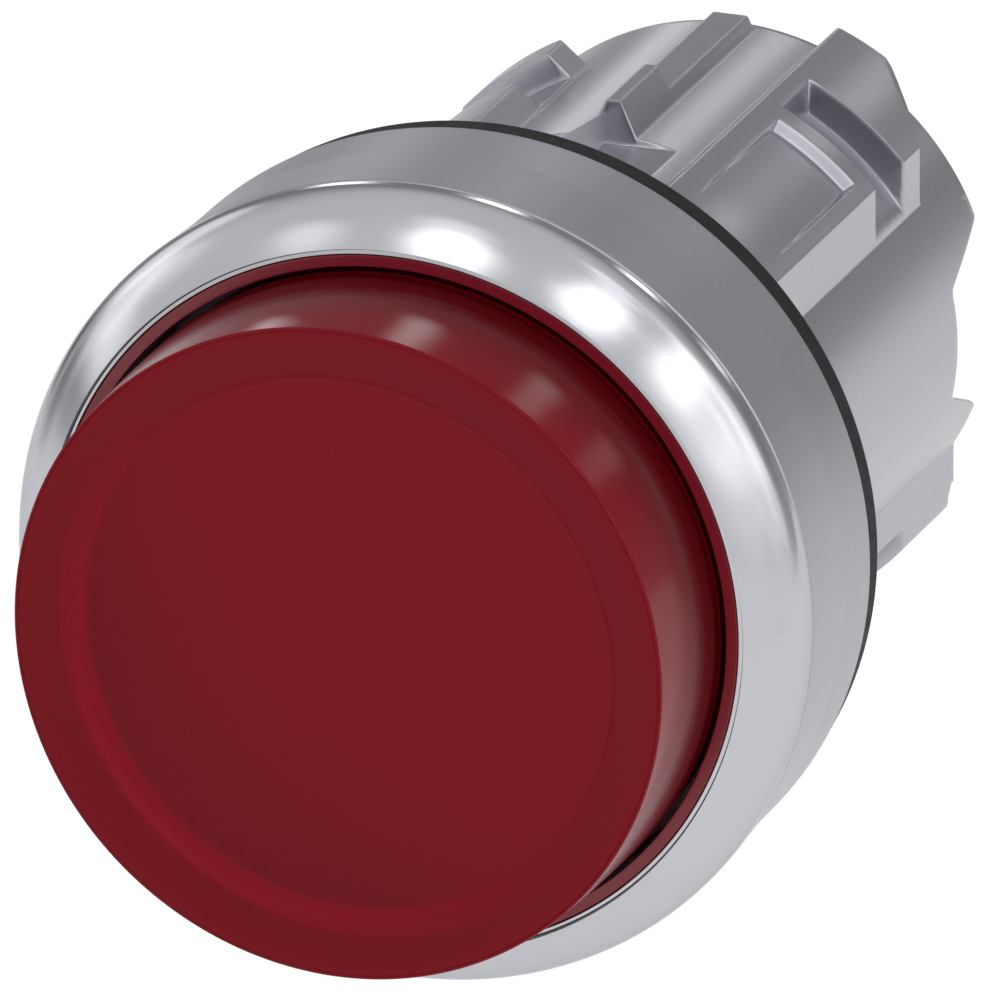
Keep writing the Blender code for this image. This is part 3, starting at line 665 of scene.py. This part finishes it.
def barrel_radius(degrees, y):
    """Outer radius of the barrel with sharp edges, for arrays of angles and stations."""
    sine, cosine = np.sin(np.radians(degrees)), np.cos(np.radians(degrees))
    fold = folded(sine, cosine)
    right, top = sine > 0, cosine > 0
    rear = np.where(top, upper_rear(fold), lower_rear(fold))
    pad = np.where(right, pad_radius(fold, RIGHT_FLANK), pad_radius(fold, LEFT_FLANK))
    pad = np.where(y < np.where(right, rear, LEFT_REAR_Y), pad, 0.0)
    share = np.interp(y, [WINDOW_Y[0], WINDOW_Y[1] - WINDOW_WALL, WINDOW_Y[1]], [0.0, 1.0, 0.0])
    in_window = right & (fold > WINDOW_DEG[0]) & (fold < WINDOW_DEG[1])
    pad = pad - WINDOW_DEPTH * share * in_window
    in_right_slot = right & (y > RIGHT_SLOT_Y[0]) & (y < RIGHT_SLOT_Y[1])
    pad = np.where(in_right_slot, slotted(pad, fold, top), pad)
    in_left_slot = ~right & (y > LEFT_SLOT_Y[0]) & (y < LEFT_SLOT_Y[1])
    pad = np.where(in_left_slot, np.minimum(pad, SLOT_FLOOR_R), pad)
    surface = np.maximum(BARREL_R, pad)
    near_key = top & (fold < KEY_REACH_DEG)
    return np.where(near_key, key_radius(np.minimum(fold, KEY_REACH_DEG), y, surface), surface)


def blurred(field, axis, width, wrap):
    """Gaussian blur along one axis; width is in grid steps."""
    reach = math.ceil(3.5 * width)
    taps = np.arange(-reach, reach + 1)
    weights = np.exp(-0.5 * (taps / width) ** 2)
    weights /= weights.sum()
    padding = [(0, 0), (0, 0)]
    padding[axis] = (reach, reach)
    padded = np.pad(field, padding, mode="wrap" if wrap else "edge")
    size = field.shape[axis]
    return sum(weight * np.take(padded, np.arange(size) + reach + tap, axis=axis)
               for tap, weight in zip(taps, weights))


def rounded_barrel():
    """Function that gives the barrel's outer radius with its edges rounded."""
    degrees = np.arange(0.0, 360.0, GRID_DEG)
    along = np.arange(FLANGE_REAR_Y, BARREL_REAR_Y + 0.3, GRID_Y)
    field = barrel_radius(degrees[:, None], along[None, :])
    field = blurred(field, 0, EDGE_WIDTH / (math.radians(GRID_DEG) * BARREL_R), wrap=True)
    field = blurred(field, 1, EDGE_WIDTH / GRID_Y, wrap=False)

    def sample(at_degrees, at_y):
        column = np.mod(at_degrees, 360.0) / GRID_DEG
        row = np.clip((at_y - FLANGE_REAR_Y) / GRID_Y, 0, len(along) - 1.001)
        left, low = np.floor(column).astype(int), np.floor(row).astype(int)
        u, v = column - left, row - low
        right = (left + 1) % len(degrees)
        left = left % len(degrees)
        near = field[left, low] * (1 - v) + field[left, low + 1] * v
        far = field[right, low] * (1 - v) + field[right, low + 1] * v
        return near * (1 - u) + far * u

    return sample


def rear_end(degrees, radius):
    """Station of the barrel's rear end, which two sloping notches interrupt."""
    height = np.abs(radius * np.cos(np.radians(degrees)))
    start, full = NOTCH_HALF_FRONT, NOTCH_HALF_FRONT + (BARREL_REAR_Y - NOTCH_FRONT_Y) * NOTCH_SLOPE
    return np.interp(height, [start, full], [NOTCH_FRONT_Y, BARREL_REAR_Y])


def housing_columns():
    """Angles of the housing's columns, close together where an edge runs along the barrel."""
    slot_edges = [math.degrees(math.asin(RIGHT_SLOT_X / r)) for r in (PAD_R, SLOT_FLOOR_R)]
    right = [*RIGHT_FLANK, *slot_edges, *WINDOW_DEG, PAD_SIDE_DEG, PAD_SIDE_END_DEG]
    lower = [math.degrees(math.acos(LOWER_SLOT_Z / r)) for r in (SLOT_FLOOR_R, LOWER_SLOT_CORNER_R)]
    left = [*LEFT_FLANK, PAD_SIDE_DEG, PAD_SIDE_END_DEG]
    edges = right + [180.0 - e for e in right + lower]
    edges += [360.0 - e for e in left] + [180.0 + e for e in left]
    edges += [*KEY_EDGES_DEG] + [360.0 - e for e in KEY_EDGES_DEG]
    edges += [side + sign * e for side in (90.0, 270.0) for sign in (-1, 1) for e in NOTCH_EDGES_DEG]
    return stations(0.0, 360.0, 1.8, edges, 0.8, 13)


def housing_rows():
    """Stations of the barrel's rows before they are stretched."""
    edges = [NIB_REAR_Y, POCKET_FRONT_Y, WINDOW_Y[1] - WINDOW_WALL, WINDOW_Y[1], *RIB_Y,
             *LEFT_SLOT_Y, *RIGHT_SLOT_Y, LEFT_REAR_Y, PAD_REAR_Y, LOW_RIB_REAR_Y]
    return stations(FLANGE_REAR_Y, BARREL_REAR_Y - RIM_FILLET, 0.8, edges, 0.15, 13)


def stretched_rows(rows, degrees, ends):
    """Stations per column, which follow the upper right pad's sloping end and the rear end."""
    sine, cosine = np.sin(np.radians(degrees)), np.cos(np.radians(degrees))
    fold = folded(sine, cosine)
    rear = np.where((sine > 0) & (cosine > 0), upper_rear(fold), PAD_REAR_Y)
    rear = np.minimum(rear, ends - END_CLEARANCE)
    fixed = RIGHT_SLOT_Y[1] + ROW_GUARD
    knots = [FLANGE_REAR_Y, fixed, PAD_REAR_Y - ROW_GUARD, PAD_REAR_Y + ROW_REACH,
             BARREL_REAR_Y - RIM_FILLET]
    columns = []
    for back, end in zip(rear, ends):
        moved = [FLANGE_REAR_Y, fixed, back - ROW_GUARD, back + ROW_REACH, end - RIM_FILLET]
        columns.append(np.interp(rows, knots, moved))
    return np.array(columns)


def smooth_end(degrees, radius):
    """Rear end's station in each column, with the notches' edges rounded."""
    grid = np.arange(0.0, 360.0, END_GRID_DEG)
    end = blurred(rear_end(grid, radius)[:, None], 0, END_BLUR, wrap=True)[:, 0]
    return np.interp(degrees, np.append(grid, 360.0), np.append(end, end[0]))


def rim_rows(last, outer_end, inner_end):
    """Radius and station of the points over the barrel's rounded rear rim, a row for each column."""
    radius, along = [], []
    for turn in np.radians([22.5, 45.0, 67.5, 90.0]):
        radius.append(last - RIM_FILLET * (1 - math.cos(turn)))
        along.append(outer_end - RIM_FILLET * (1 - math.sin(turn)))
    radius += [last - RIM_FILLET - 0.05, np.full_like(last, BORE_R + RIM_FILLET + 0.05)]
    along += [outer_end, inner_end]
    for turn in np.radians([0.0, 22.5, 45.0, 67.5, 90.0]):
        radius.append(np.full_like(last, BORE_R + RIM_FILLET * (1 - math.sin(turn))))
        along.append(inner_end - RIM_FILLET * (1 - math.cos(turn)))
    return np.array(radius).T, np.array(along).T


def bore_and_flange():
    """Outline from the barrel's bore forward through the cavity and back over the flange."""
    groove_front, groove_rear = RING_GROOVE_Y
    front_r, step_r, rear_r = FLANGE_R
    return rounded([
        (BORE_R, groove_rear + 0.3, 0), (BORE_R, groove_rear, 0.05),
        (RING_GROOVE_R, groove_rear, 0.08), (RING_GROOVE_R, groove_front, 0.08),
        (BORE_R, groove_front, 0.05), (BORE_R, WIPER_BORE_Y, 0.1),
        (WIPER_BORE_R, WIPER_BORE_Y, 0.1), (WIPER_BORE_R, CAVITY_FLOOR_Y, 0.15),
        (CAVITY_R, CAVITY_FLOOR_Y, 0.4), (CAVITY_R, LEDGE_Y, 0.1), (SPIGOT_BORE_R, LEDGE_Y, 0.1),
        (SPIGOT_BORE_R, FLANGE_FRONT_Y, 0.1), (front_r, FLANGE_FRONT_Y, 0.12),
        (step_r, FLANGE_STEP_Y, 0.1), (rear_r, FLANGE_REAR_Y, 0.08),
        (NIB_TOP_Z + 0.6, FLANGE_REAR_Y, 0),
    ], closed=False)


def housing(mat):
    """Flange, bored cavity and featured barrel as one closed mesh."""
    degrees = housing_columns()
    outer_end, inner_end = smooth_end(degrees, BARREL_R), smooth_end(degrees, BORE_R)
    along = stretched_rows(housing_rows(), degrees, outer_end)
    radius = rounded_barrel()(degrees[:, None], along)
    rim_r, rim_y = rim_rows(radius[:, -1], outer_end, inner_end)
    inside = bore_and_flange()
    columns = len(degrees)
    radius = np.hstack([radius, rim_r, np.tile(inside[:, 0], (columns, 1))])
    along = np.hstack([along, rim_y, np.tile(inside[:, 1], (columns, 1))])
    return polar_mesh("housing_body", degrees, radius, along, mat)


def prism(name, sections, bevel, mat):
    """Solid through sections of (x, y, z) points, with its edges rounded."""
    count = len(sections[0])
    points = [point for section in sections for point in section]
    faces = [list(range(count)), list(range(len(points) - 1, len(points) - 1 - count, -1))]
    for k in range(len(sections) - 1):
        for i in range(count):
            j = (i + 1) % count
            faces.append([k * count + i, k * count + j, (k + 1) * count + j, (k + 1) * count + i])
    obj = finish_mesh(name, points, faces, mat)
    modifier = obj.modifiers.new("edges", "BEVEL")
    modifier.width = bevel * MM
    modifier.segments = 3
    modifier.harden_normals = True
    return obj


def nib_gusset(mat):
    """Thin fin that rises from the key rib to the locating nib."""
    root = BARREL_R - 0.6
    rear = [(-0.75, root), (-0.38, 10.56), (-0.30, root)]
    front = [(-0.55, root), (0.20, 12.4), (0.35, root)]
    sections = [[(x, RIB_Y[0] + 0.3, z) for x, z in rear],
                [(x, NIB_REAR_Y - 0.3, z) for x, z in front]]
    return prism("housing_gusset", sections, 0.05, mat)


# ---------------------------------------------------------------- other fixed pieces

def bezel_ring(mat):
    """Chrome front ring: a conical face that turns round into its rim, a small lip and a spigot."""
    start, rim = Vector(BEZEL_FACE_START), Vector((BEZEL_R, BEZEL_RIM_Y))
    control = [start, start + Vector((0.96, 0.72)), rim + Vector((0.0, -0.75)), rim]
    corners = []
    for i in range(BEZEL_FACE_STEPS + 1):
        t = i / BEZEL_FACE_STEPS
        weights = ((1 - t) ** 3, 3 * t * (1 - t) ** 2, 3 * t * t * (1 - t), t ** 3)
        point = sum((w * c for w, c in zip(weights, control)), Vector((0.0, 0.0)))
        corners.append((point.x, point.y, 0.0))
    inner_r, outer_r = BEZEL_SPIGOT_R
    corners += [(BEZEL_R, BEZEL_REAR_Y, 0.05), (outer_r, BEZEL_REAR_Y, 0.1),
                (outer_r, BEZEL_SPIGOT_REAR_Y, 0.1), (inner_r, BEZEL_SPIGOT_REAR_Y, 0.1),
                (inner_r, -9.9, 0.05), (BEZEL_LIP_R, -10.0, 0.03),
                (BEZEL_LIP_R, -10.48, 0.04), (13.02, -10.42, 0.02), (13.045, -10.36, 0.01)]
    return turned("bezel_ring_body", corners, mat)


def lens_collar(mat):
    """Thin red ring just inside the chrome ring's lip."""
    corners = [(COLLAR_INNER_R, COLLAR_FRONT_Y, 0.03), (COLLAR_OUTER_R, COLLAR_FRONT_Y, 0.03),
               (COLLAR_OUTER_R, -9.75, 0.03), (12.55, -9.75, 0.03), (COLLAR_INNER_R, -9.85, 0.03)]
    return turned("lens_collar_body", corners, mat)


def collar_seat(mat):
    """Tube behind the collar, which carries it on the housing's ledge."""
    corners = [(COLLAR_INNER_R, -9.6, 0.05), (12.8, -9.6, 0.05), (12.8, -6.3, 0.05),
               (13.15, -6.3, 0.08), (13.15, -5.7, 0.08), (COLLAR_INNER_R, -5.7, 0.08)]
    return turned("lens_collar_seat", corners, mat)


def panel_gasket(mat):
    """Rubber ring with a recess for the locating nib."""
    outline = rounded(ring_corners((11.4, 14.3), (-1.15, 0.0), 0.1))
    degrees = stations(0.0, 360.0, 1.5, [7.4, 352.6], 1.0, 9)
    inside = (outline[:, 0] < 12.0)[None, :] & near_top(degrees, 12.75, 1.65)
    radius = np.where(inside, outline[:, 0] + 1.35, outline[:, 0])
    return polar_mesh("panel_gasket_body", degrees, radius, outline[:, 1], mat)


def round_seal(name, radius, y, cord_r, mat):
    """O-ring: a round cord turned about the axis."""
    turn = np.arange(CORD_POINTS) * math.tau / CORD_POINTS
    degrees = np.arange(ROUND_COLUMNS) * 360.0 / ROUND_COLUMNS
    return polar_mesh(name, degrees, radius + cord_r * np.cos(turn), y + cord_r * np.sin(turn), mat)


def open_ring(name, radii, y_range, gap_deg, lug, mat):
    """Spring-steel ring with a gap at the bottom, its two ends widened inward into lugs."""
    outline = rounded(ring_corners(radii, y_range, 0.06))
    degrees = 180.0 + gap_deg / 2 + np.linspace(0.0, 360.0 - gap_deg, OPEN_RING_COLUMNS)
    from_end = np.minimum(degrees - degrees[0], degrees[-1] - degrees)
    widening = lug * (1.0 - np.clip((from_end - LUG_DEG) / LUG_FADE_DEG, 0.0, 1.0))
    inside = outline[:, 0] < sum(radii) / 2
    radius = outline[:, 0][None, :] - widening[:, None] * inside[None, :]
    return polar_mesh(name, degrees, radius, outline[:, 1], mat, wrap=False)


def wiper_seal(mat):
    """Seal whose lip leans forward onto the plunger."""
    corners = [(6.35, -2.3, 0.05), (6.75, -2.1, 0.1), (7.2, -1.6, 0.1), (8.65, -1.6, 0.1),
               (8.65, -1.0, 0.1), (7.0, -1.0, 0.1), (6.7, -1.5, 0.1)]
    return turned("wiper_seal_body", corners, mat, SMALL_COLUMNS)


def rear_bush(mat):
    """Guide bush with a keyway for the plunger's key."""
    outline = rounded(ring_corners((6.45, 8.25), (16.4, 19.0), 0.12))
    degrees = stations(0.0, 360.0, 2.5, [8.9, 351.1], 1.2, 9)
    in_keyway = (outline[:, 0] < 7.0)[None, :] & near_top(degrees, 6.9, 1.05)
    radius = np.where(in_keyway, outline[:, 0] + KEYWAY_DEPTH, outline[:, 0])
    return polar_mesh("rear_bush_body", degrees, radius, outline[:, 1], mat)


def return_spring(mat):
    """Compression spring: close end turns and open turns between them."""
    front, rear = SPRING_FRONT_Y + SPRING_WIRE_R, SPRING_REAR_Y - SPRING_WIRE_R
    end_pitch = SPRING_WIRE_R * 2 + SPRING_END_GAP
    open_turns = SPRING_TURNS - 2
    open_pitch = (rear - front - 2 * end_pitch) / open_turns
    turn = np.linspace(0.0, SPRING_TURNS, int(SPRING_TURNS * TURN_STEPS) + 1)
    y = front + end_pitch * np.minimum(turn, 1.0) + open_pitch * np.clip(turn - 1.0, 0.0, open_turns)
    y += end_pitch * np.maximum(turn - SPRING_TURNS + 1.0, 0.0)
    wire = np.arange(WIRE_POINTS) * math.tau / WIRE_POINTS
    radius = SPRING_MEAN_R + SPRING_WIRE_R * np.cos(wire)
    along = y[:, None] + SPRING_WIRE_R * np.sin(wire)[None, :]
    return polar_mesh("return_spring_body", turn * 360.0, radius, along, mat, wrap=False)


# ---------------------------------------------------------------- pieces of the button

def lens_cap(mat):
    """Red cap: a face that slopes in to a shallow dish, a fine line at its edge and a narrower neck."""
    front = LENS_FRONT_Y
    corners = [
        (0.0, DISH_FLOOR_Y, 0), (DISH_FLOOR_R, DISH_FLOOR_Y, 1.0), (*DISH_EDGE, 0.03),
        (LENS_RIM_R, front, 0.5), (11.90, front, 0.02), (11.94, front + 0.04, 0.02),
        (11.98, front, 0.02), (12.03, front, 0.03), (LENS_FRONT_R, front + 0.06, 0.03),
        (LENS_SIDE_R, LENS_SIDE_Y, 0),
        (LENS_BASE_R, LENS_BASE_Y - 0.12, 0.05), (LENS_BASE_R - 0.06, LENS_BASE_Y, 0.05),
        (LENS_NECK_R, LENS_BASE_Y, 0.05), (LENS_NECK_R, LENS_REAR_Y, 0.05),
        (LENS_INNER_R, LENS_REAR_Y, 0.05), (LENS_INNER_R, LENS_INNER_Y, 0.3), (0.0, LENS_INNER_Y, 0),
    ]
    return turned("lens_cap_body", corners, mat)


def disc(name, front_y, thickness, mat):
    """Flat disc inside the cap."""
    radius = LENS_INNER_R - 0.3
    corners = [(0.0, front_y, 0), (radius, front_y, 0.12), (radius, front_y + thickness, 0.12),
               (0.0, front_y + thickness, 0)]
    return turned(name, corners, mat, SMALL_COLUMNS)


def button_carrier(mat):
    """Cup with a groove for the seal, which joins the cap to the plunger."""
    corners = [
        (9.7, -12.4, 0.1), (10.9, -12.4, 0.15), (10.9, -11.1, 0.05), (10.1, -11.1, 0.08),
        (10.1, -10.1, 0.08), (10.9, -10.1, 0.05), (10.9, -8.0, 0.1), (12.0, -8.0, 0.1),
        (12.0, -7.5, 0.1), (6.45, -7.5, 0.15), (6.45, -9.4, 0.15), (9.7, -9.4, 0.3),
    ]
    return turned("button_carrier_body", corners, mat, SMALL_COLUMNS)


def plunger(mat):
    """Sliding tube with a shoulder, a spring collar and a guide key along its top."""
    outline = rounded([
        (5.0, -10.6, 0.15), (TUBE_R, -10.6, 0.2), (TUBE_R, -10.3, 0.03), (5.6, -10.3, 0.06),
        (5.6, -9.6, 0.06), (TUBE_R, -9.6, 0.05), (TUBE_R, -7.2, 0.1), (7.2, -7.2, 0.1),
        (7.2, -6.6, 0.1), (TUBE_R, -6.6, 0.1), (TUBE_R, 4.6, 0.15), (8.0, 4.6, 0.12),
        (8.0, 5.8, 0.12), (TUBE_R, 5.8, 0.05), (TUBE_R, KEY_END_Y - 0.04, 0),
        (TUBE_R, KEY_END_Y + 0.04, 0), (TUBE_R, 21.9, 0.2), (5.0, 21.9, 0.2),
    ])
    degrees = stations(0.0, 360.0, 2.8, [6.9, 353.1], 0.8, 9)
    radii, along = outline.T
    on_key = (along > 5.7) & (along < KEY_END_Y) & (radii > 5.9) & (radii < 6.6)
    radius = np.where(on_key[None, :] & near_top(degrees, 6.5, 0.8), KEY_TOP_R, radii)
    return polar_mesh("plunger_body", degrees, radius, along, mat)


def light_guide(mat):
    """Clear rod with a flared front and a rounded rear end."""
    corners = [(0.0, -11.3, 0), (5.7, -11.3, 0.15), (6.0, -10.85, 0.1), (4.6, -10.85, 0.1),
               (4.6, 9.3, 0.3), (3.8, 9.8, 0.6), (0.0, 10.0, 0)]
    return turned("light_guide_body", corners, mat, SMALL_COLUMNS)


def pusher_ring(mat):
    """Ring with two feet that reach back to press the contact blocks."""
    front, ring_rear, foot_rear = PUSHER_Y
    edges = [side + sign * FOOT_HALF_DEG for side in (90.0, 270.0) for sign in (-1, 1)]
    degrees = stations(0.0, 360.0, 2.8, edges, 1.2, 11)
    to_side = np.abs(np.abs(np.mod(degrees, 180.0) - 90.0))
    share = np.clip((FOOT_HALF_DEG - to_side) / FOOT_EDGE_DEG + 0.5, 0.0, 1.0)
    share = share * share * (3.0 - 2.0 * share)
    rear = ring_rear + (foot_rear - ring_rear) * share
    outline = rounded(ring_corners((6.45, 8.0), (front, ring_rear), 0.15))
    middle = (front + ring_rear) / 2
    radii, along = outline.T
    along = np.where(along > middle, along + (rear - ring_rear)[:, None], along)
    return polar_mesh("pusher_ring_body", degrees, radii, along, mat)


# ---------------------------------------------------------------- assembly

def place(piece, body, node):
    """Let a piece ride on a body and stand for a CAD node."""
    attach(piece, body)
    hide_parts(node)


def build_base(black, black_plastic, steel):
    """Pieces that stay with the panel."""
    # The pale metal is a lighter copy of the cast metal: painted light on the fin and on the tube
    # behind the collar, which lies in the gap's shade.
    cast, lit_metal = cast_metal(), painted_light_metal()
    collar_red = red_lens("red_collar", (0.19, 0.006, 0.016), (0.21, 0.008, 0.019), 0.5)
    place(housing(cast), "base", "housing")
    gusset = nib_gusset(lit_metal)
    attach(gusset, "base")
    place(bezel_ring(chrome()), "base", "bezel_ring")
    place(lens_collar(collar_red), "base", "lens_collar")
    seat = collar_seat(lit_metal)
    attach(seat, "base")
    place(panel_gasket(black), "base", "panel_gasket")
    place(round_seal("bezel_seal_body", 13.68, -6.0, 0.25, black), "base", "bezel_seal")
    stop = turned("stop_ring_body", ring_corners((9.6, 11.8), (-3.2, -2.75), 0.1), black)
    place(stop, "base", "stop_ring")
    place(wiper_seal(black), "base", "wiper_seal")
    front = turned("front_bush_body", ring_corners((6.45, 8.25), (-0.45, 3.9), 0.12), black_plastic)
    place(front, "base", "front_bush")
    washer = turned("spring_washer_body", ring_corners((6.9, 8.2), (15.4, 16.1), 0.08), steel)
    place(washer, "base", "spring_washer")
    place(rear_bush(black_plastic), "base", "rear_bush")
    retainer = open_ring("retaining_ring_body", (7.35, 8.8), (19.3, 20.0), 34.0, 0.5, steel)
    place(retainer, "base", "retaining_ring")
    spring = return_spring(steel)
    place(spring, "base", "return_spring")
    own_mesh(spring)


def build_button(black, black_plastic, steel):
    """Pieces that move when the button is pressed."""
    acetal = plastic("white_acetal", (0.66, 0.66, 0.64), (0.74, 0.74, 0.72), 0.42)
    opal = plastic("opal_plastic", (0.78, 0.78, 0.76), (0.84, 0.84, 0.82), 0.5, Subsurface_Weight=0.2)
    clear = plastic("clear_plastic", (0.84, 0.86, 0.87), (0.9, 0.92, 0.93), 0.16,
                    Transmission_Weight=0.9)
    place(lens_cap(cap_red()), "button", "lens_cap")
    place(disc("legend_disc_body", -14.65, 0.7, opal), "button", "legend_disc")
    place(disc("diffuser_disc_body", -13.7, 1.05, opal), "button", "diffuser_disc")
    place(round_seal("lens_seal_body", 10.62, -10.6, 0.28, black), "button", "lens_seal")
    place(button_carrier(acetal), "button", "button_carrier")
    clip = open_ring("carrier_clip_body", (5.8, 7.6), (-10.2, -9.65), 60.0, 0.0, steel)
    place(clip, "button", "carrier_clip")
    place(light_guide(clear), "button", "light_guide")
    place(plunger(acetal), "button", "plunger")
    place(pusher_ring(black_plastic), "button", "pusher_ring")


def build_pieces():
    """All pieces, on the base and on the button."""
    black, steel = rubber(), spring_steel()
    black_plastic = plastic("black_plastic", (0.022, 0.022, 0.024), (0.034, 0.034, 0.036), 0.48)
    build_base(black, black_plastic, steel)
    build_button(black, black_plastic, steel)


# ---------------------------------------------------------------- stage, light and camera

def direction(azimuth, elevation):
    """Unit vector from the object; azimuth 0 is in front of it and 90 is to its right."""
    a, e = math.radians(azimuth), math.radians(elevation)
    return Vector((math.sin(a) * math.cos(e), -math.cos(a) * math.cos(e), math.sin(e)))


def add_floor():
    """Pale round floor, faintly lit from within so that it stays near white."""
    floor_mat = principled("pale_floor", (0.92, 0.92, 0.92), 0.9, Emission_Color=(1.0, 1.0, 1.0, 1.0),
                           Emission_Strength=0.19)
    vary_roughness(floor_mat, 20.0, 0.85, 0.95)
    points = [(0.0, FLOOR_CENTRE_Y, FLOOR_Z)]
    for i in range(FLOOR_SIDES):
        turn = math.tau * i / FLOOR_SIDES
        away = FLOOR_RADIUS * math.cos(turn)
        points.append((FLOOR_RADIUS * math.sin(turn), FLOOR_CENTRE_Y + away, FLOOR_Z))
    faces = [[0, i + 1, (i + 1) % FLOOR_SIDES + 1] for i in range(FLOOR_SIDES)]
    finish_mesh("floor", points, faces, floor_mat)


def world_ramp(nodes, links, height, stops):
    """Grey level of the room by height, with soft turns at the stops."""
    ramp = nodes.new("ShaderNodeValToRGB")
    ramp.color_ramp.interpolation = "EASE"
    while len(ramp.color_ramp.elements) < len(stops):
        ramp.color_ramp.elements.new(0.5)
    for element, (position, value) in zip(ramp.color_ramp.elements, stops):
        element.position = position
        element.color = (value, value, value, 1.0)
    links.new(height, ramp.inputs["Fac"])
    return ramp.outputs["Color"]


def panel_glow(nodes, links, ray, panel):
    """Soft round light panel in the room: brightest in its middle, gone at its half-width."""
    azimuth, elevation, core, half_width, level = panel
    towards = nodes.new("ShaderNodeVectorMath")
    towards.operation = "DOT_PRODUCT"
    towards.inputs[1].default_value = direction(azimuth, elevation)
    links.new(ray, towards.inputs[0])
    glow = nodes.new("ShaderNodeMapRange")
    glow.interpolation_type = "SMOOTHSTEP"
    glow.inputs["From Min"].default_value = math.cos(math.radians(half_width))
    glow.inputs["From Max"].default_value = math.cos(math.radians(core))
    glow.inputs["To Max"].default_value = level
    links.new(towards.outputs["Value"], glow.inputs["Value"])
    return glow.outputs["Result"]


def room_light(nodes, links, ray):
    """Light of the bare room, which passes from its front to its back."""
    split = nodes.new("ShaderNodeSeparateXYZ")
    links.new(ray, split.inputs["Vector"])
    height = nodes.new("ShaderNodeMapRange")
    height.inputs["From Min"].default_value = -1.0
    links.new(split.outputs["Z"], height.inputs["Value"])
    to_back = nodes.new("ShaderNodeMapRange")
    to_back.interpolation_type = "SMOOTHSTEP"
    to_back.inputs["From Min"].default_value = -0.1
    to_back.inputs["From Max"].default_value = 0.7
    links.new(split.outputs["Y"], to_back.inputs["Value"])
    room = nodes.new("ShaderNodeMix")
    room.data_type = "RGBA"
    links.new(to_back.outputs["Result"], room.inputs["Factor"])
    links.new(world_ramp(nodes, links, height.outputs["Result"], FRONT_ROOM), room.inputs["A"])
    links.new(world_ramp(nodes, links, height.outputs["Result"], BACK_ROOM), room.inputs["B"])
    return room.outputs["Result"]


def add_world():
    """Pale studio room: white to the camera; for light a bright ground, a dim back and soft panels."""
    world = bpy.data.worlds.new("studio")
    bpy.context.scene.world = world
    world.use_nodes = True
    nodes, links = world.node_tree.nodes, world.node_tree.links
    ray = nodes.new("ShaderNodeTexCoord").outputs["Generated"]
    total = room_light(nodes, links, ray)
    for panel in FRONT_PANELS + RIGHT_PANELS + LEFT_PANELS + BACK_PANELS:
        add = nodes.new("ShaderNodeVectorMath")
        add.operation = "ADD"
        links.new(total, add.inputs[0])
        links.new(panel_glow(nodes, links, ray, panel), add.inputs[1])
        total = add.outputs["Vector"]
    seen = nodes.new("ShaderNodeMix")
    seen.data_type = "RGBA"
    seen.inputs["B"].default_value = (1.0, 1.0, 1.0, 1.0)
    path = nodes.new("ShaderNodeLightPath")
    links.new(path.outputs["Is Camera Ray"], seen.inputs["Factor"])
    links.new(total, seen.inputs["A"])
    links.new(seen.outputs["Result"], nodes["Background"].inputs["Color"])


def add_camera():
    """Long lens seen from the front right and above."""
    data = bpy.data.cameras.new("camera")
    data.lens = CAMERA_LENS
    data.sensor_width = SENSOR_WIDTH
    distance = FRAME_HEIGHT * MM * CAMERA_LENS / SENSOR_WIDTH
    data.clip_start = CAMERA_NEAR_M
    data.clip_end = distance * 2
    obj = bpy.data.objects.new("camera", data)
    bpy.context.scene.collection.objects.link(obj)
    back = direction(CAMERA_AZIMUTH, CAMERA_ELEVATION)
    right = Vector((0.0, 0.0, 1.0)).cross(back).normalized()
    up = back.cross(right)
    obj.location = back * distance + (right * CAMERA_OFFSET[0] + up * CAMERA_OFFSET[1]) * MM
    obj.rotation_mode = "QUATERNION"
    obj.rotation_quaternion = (-back).to_track_quat("-Z", "Y")
    bpy.context.scene.camera = obj


add_camera()
build_pieces()
add_floor()
add_world()
bpy.context.scene.view_settings.view_transform = "Standard"
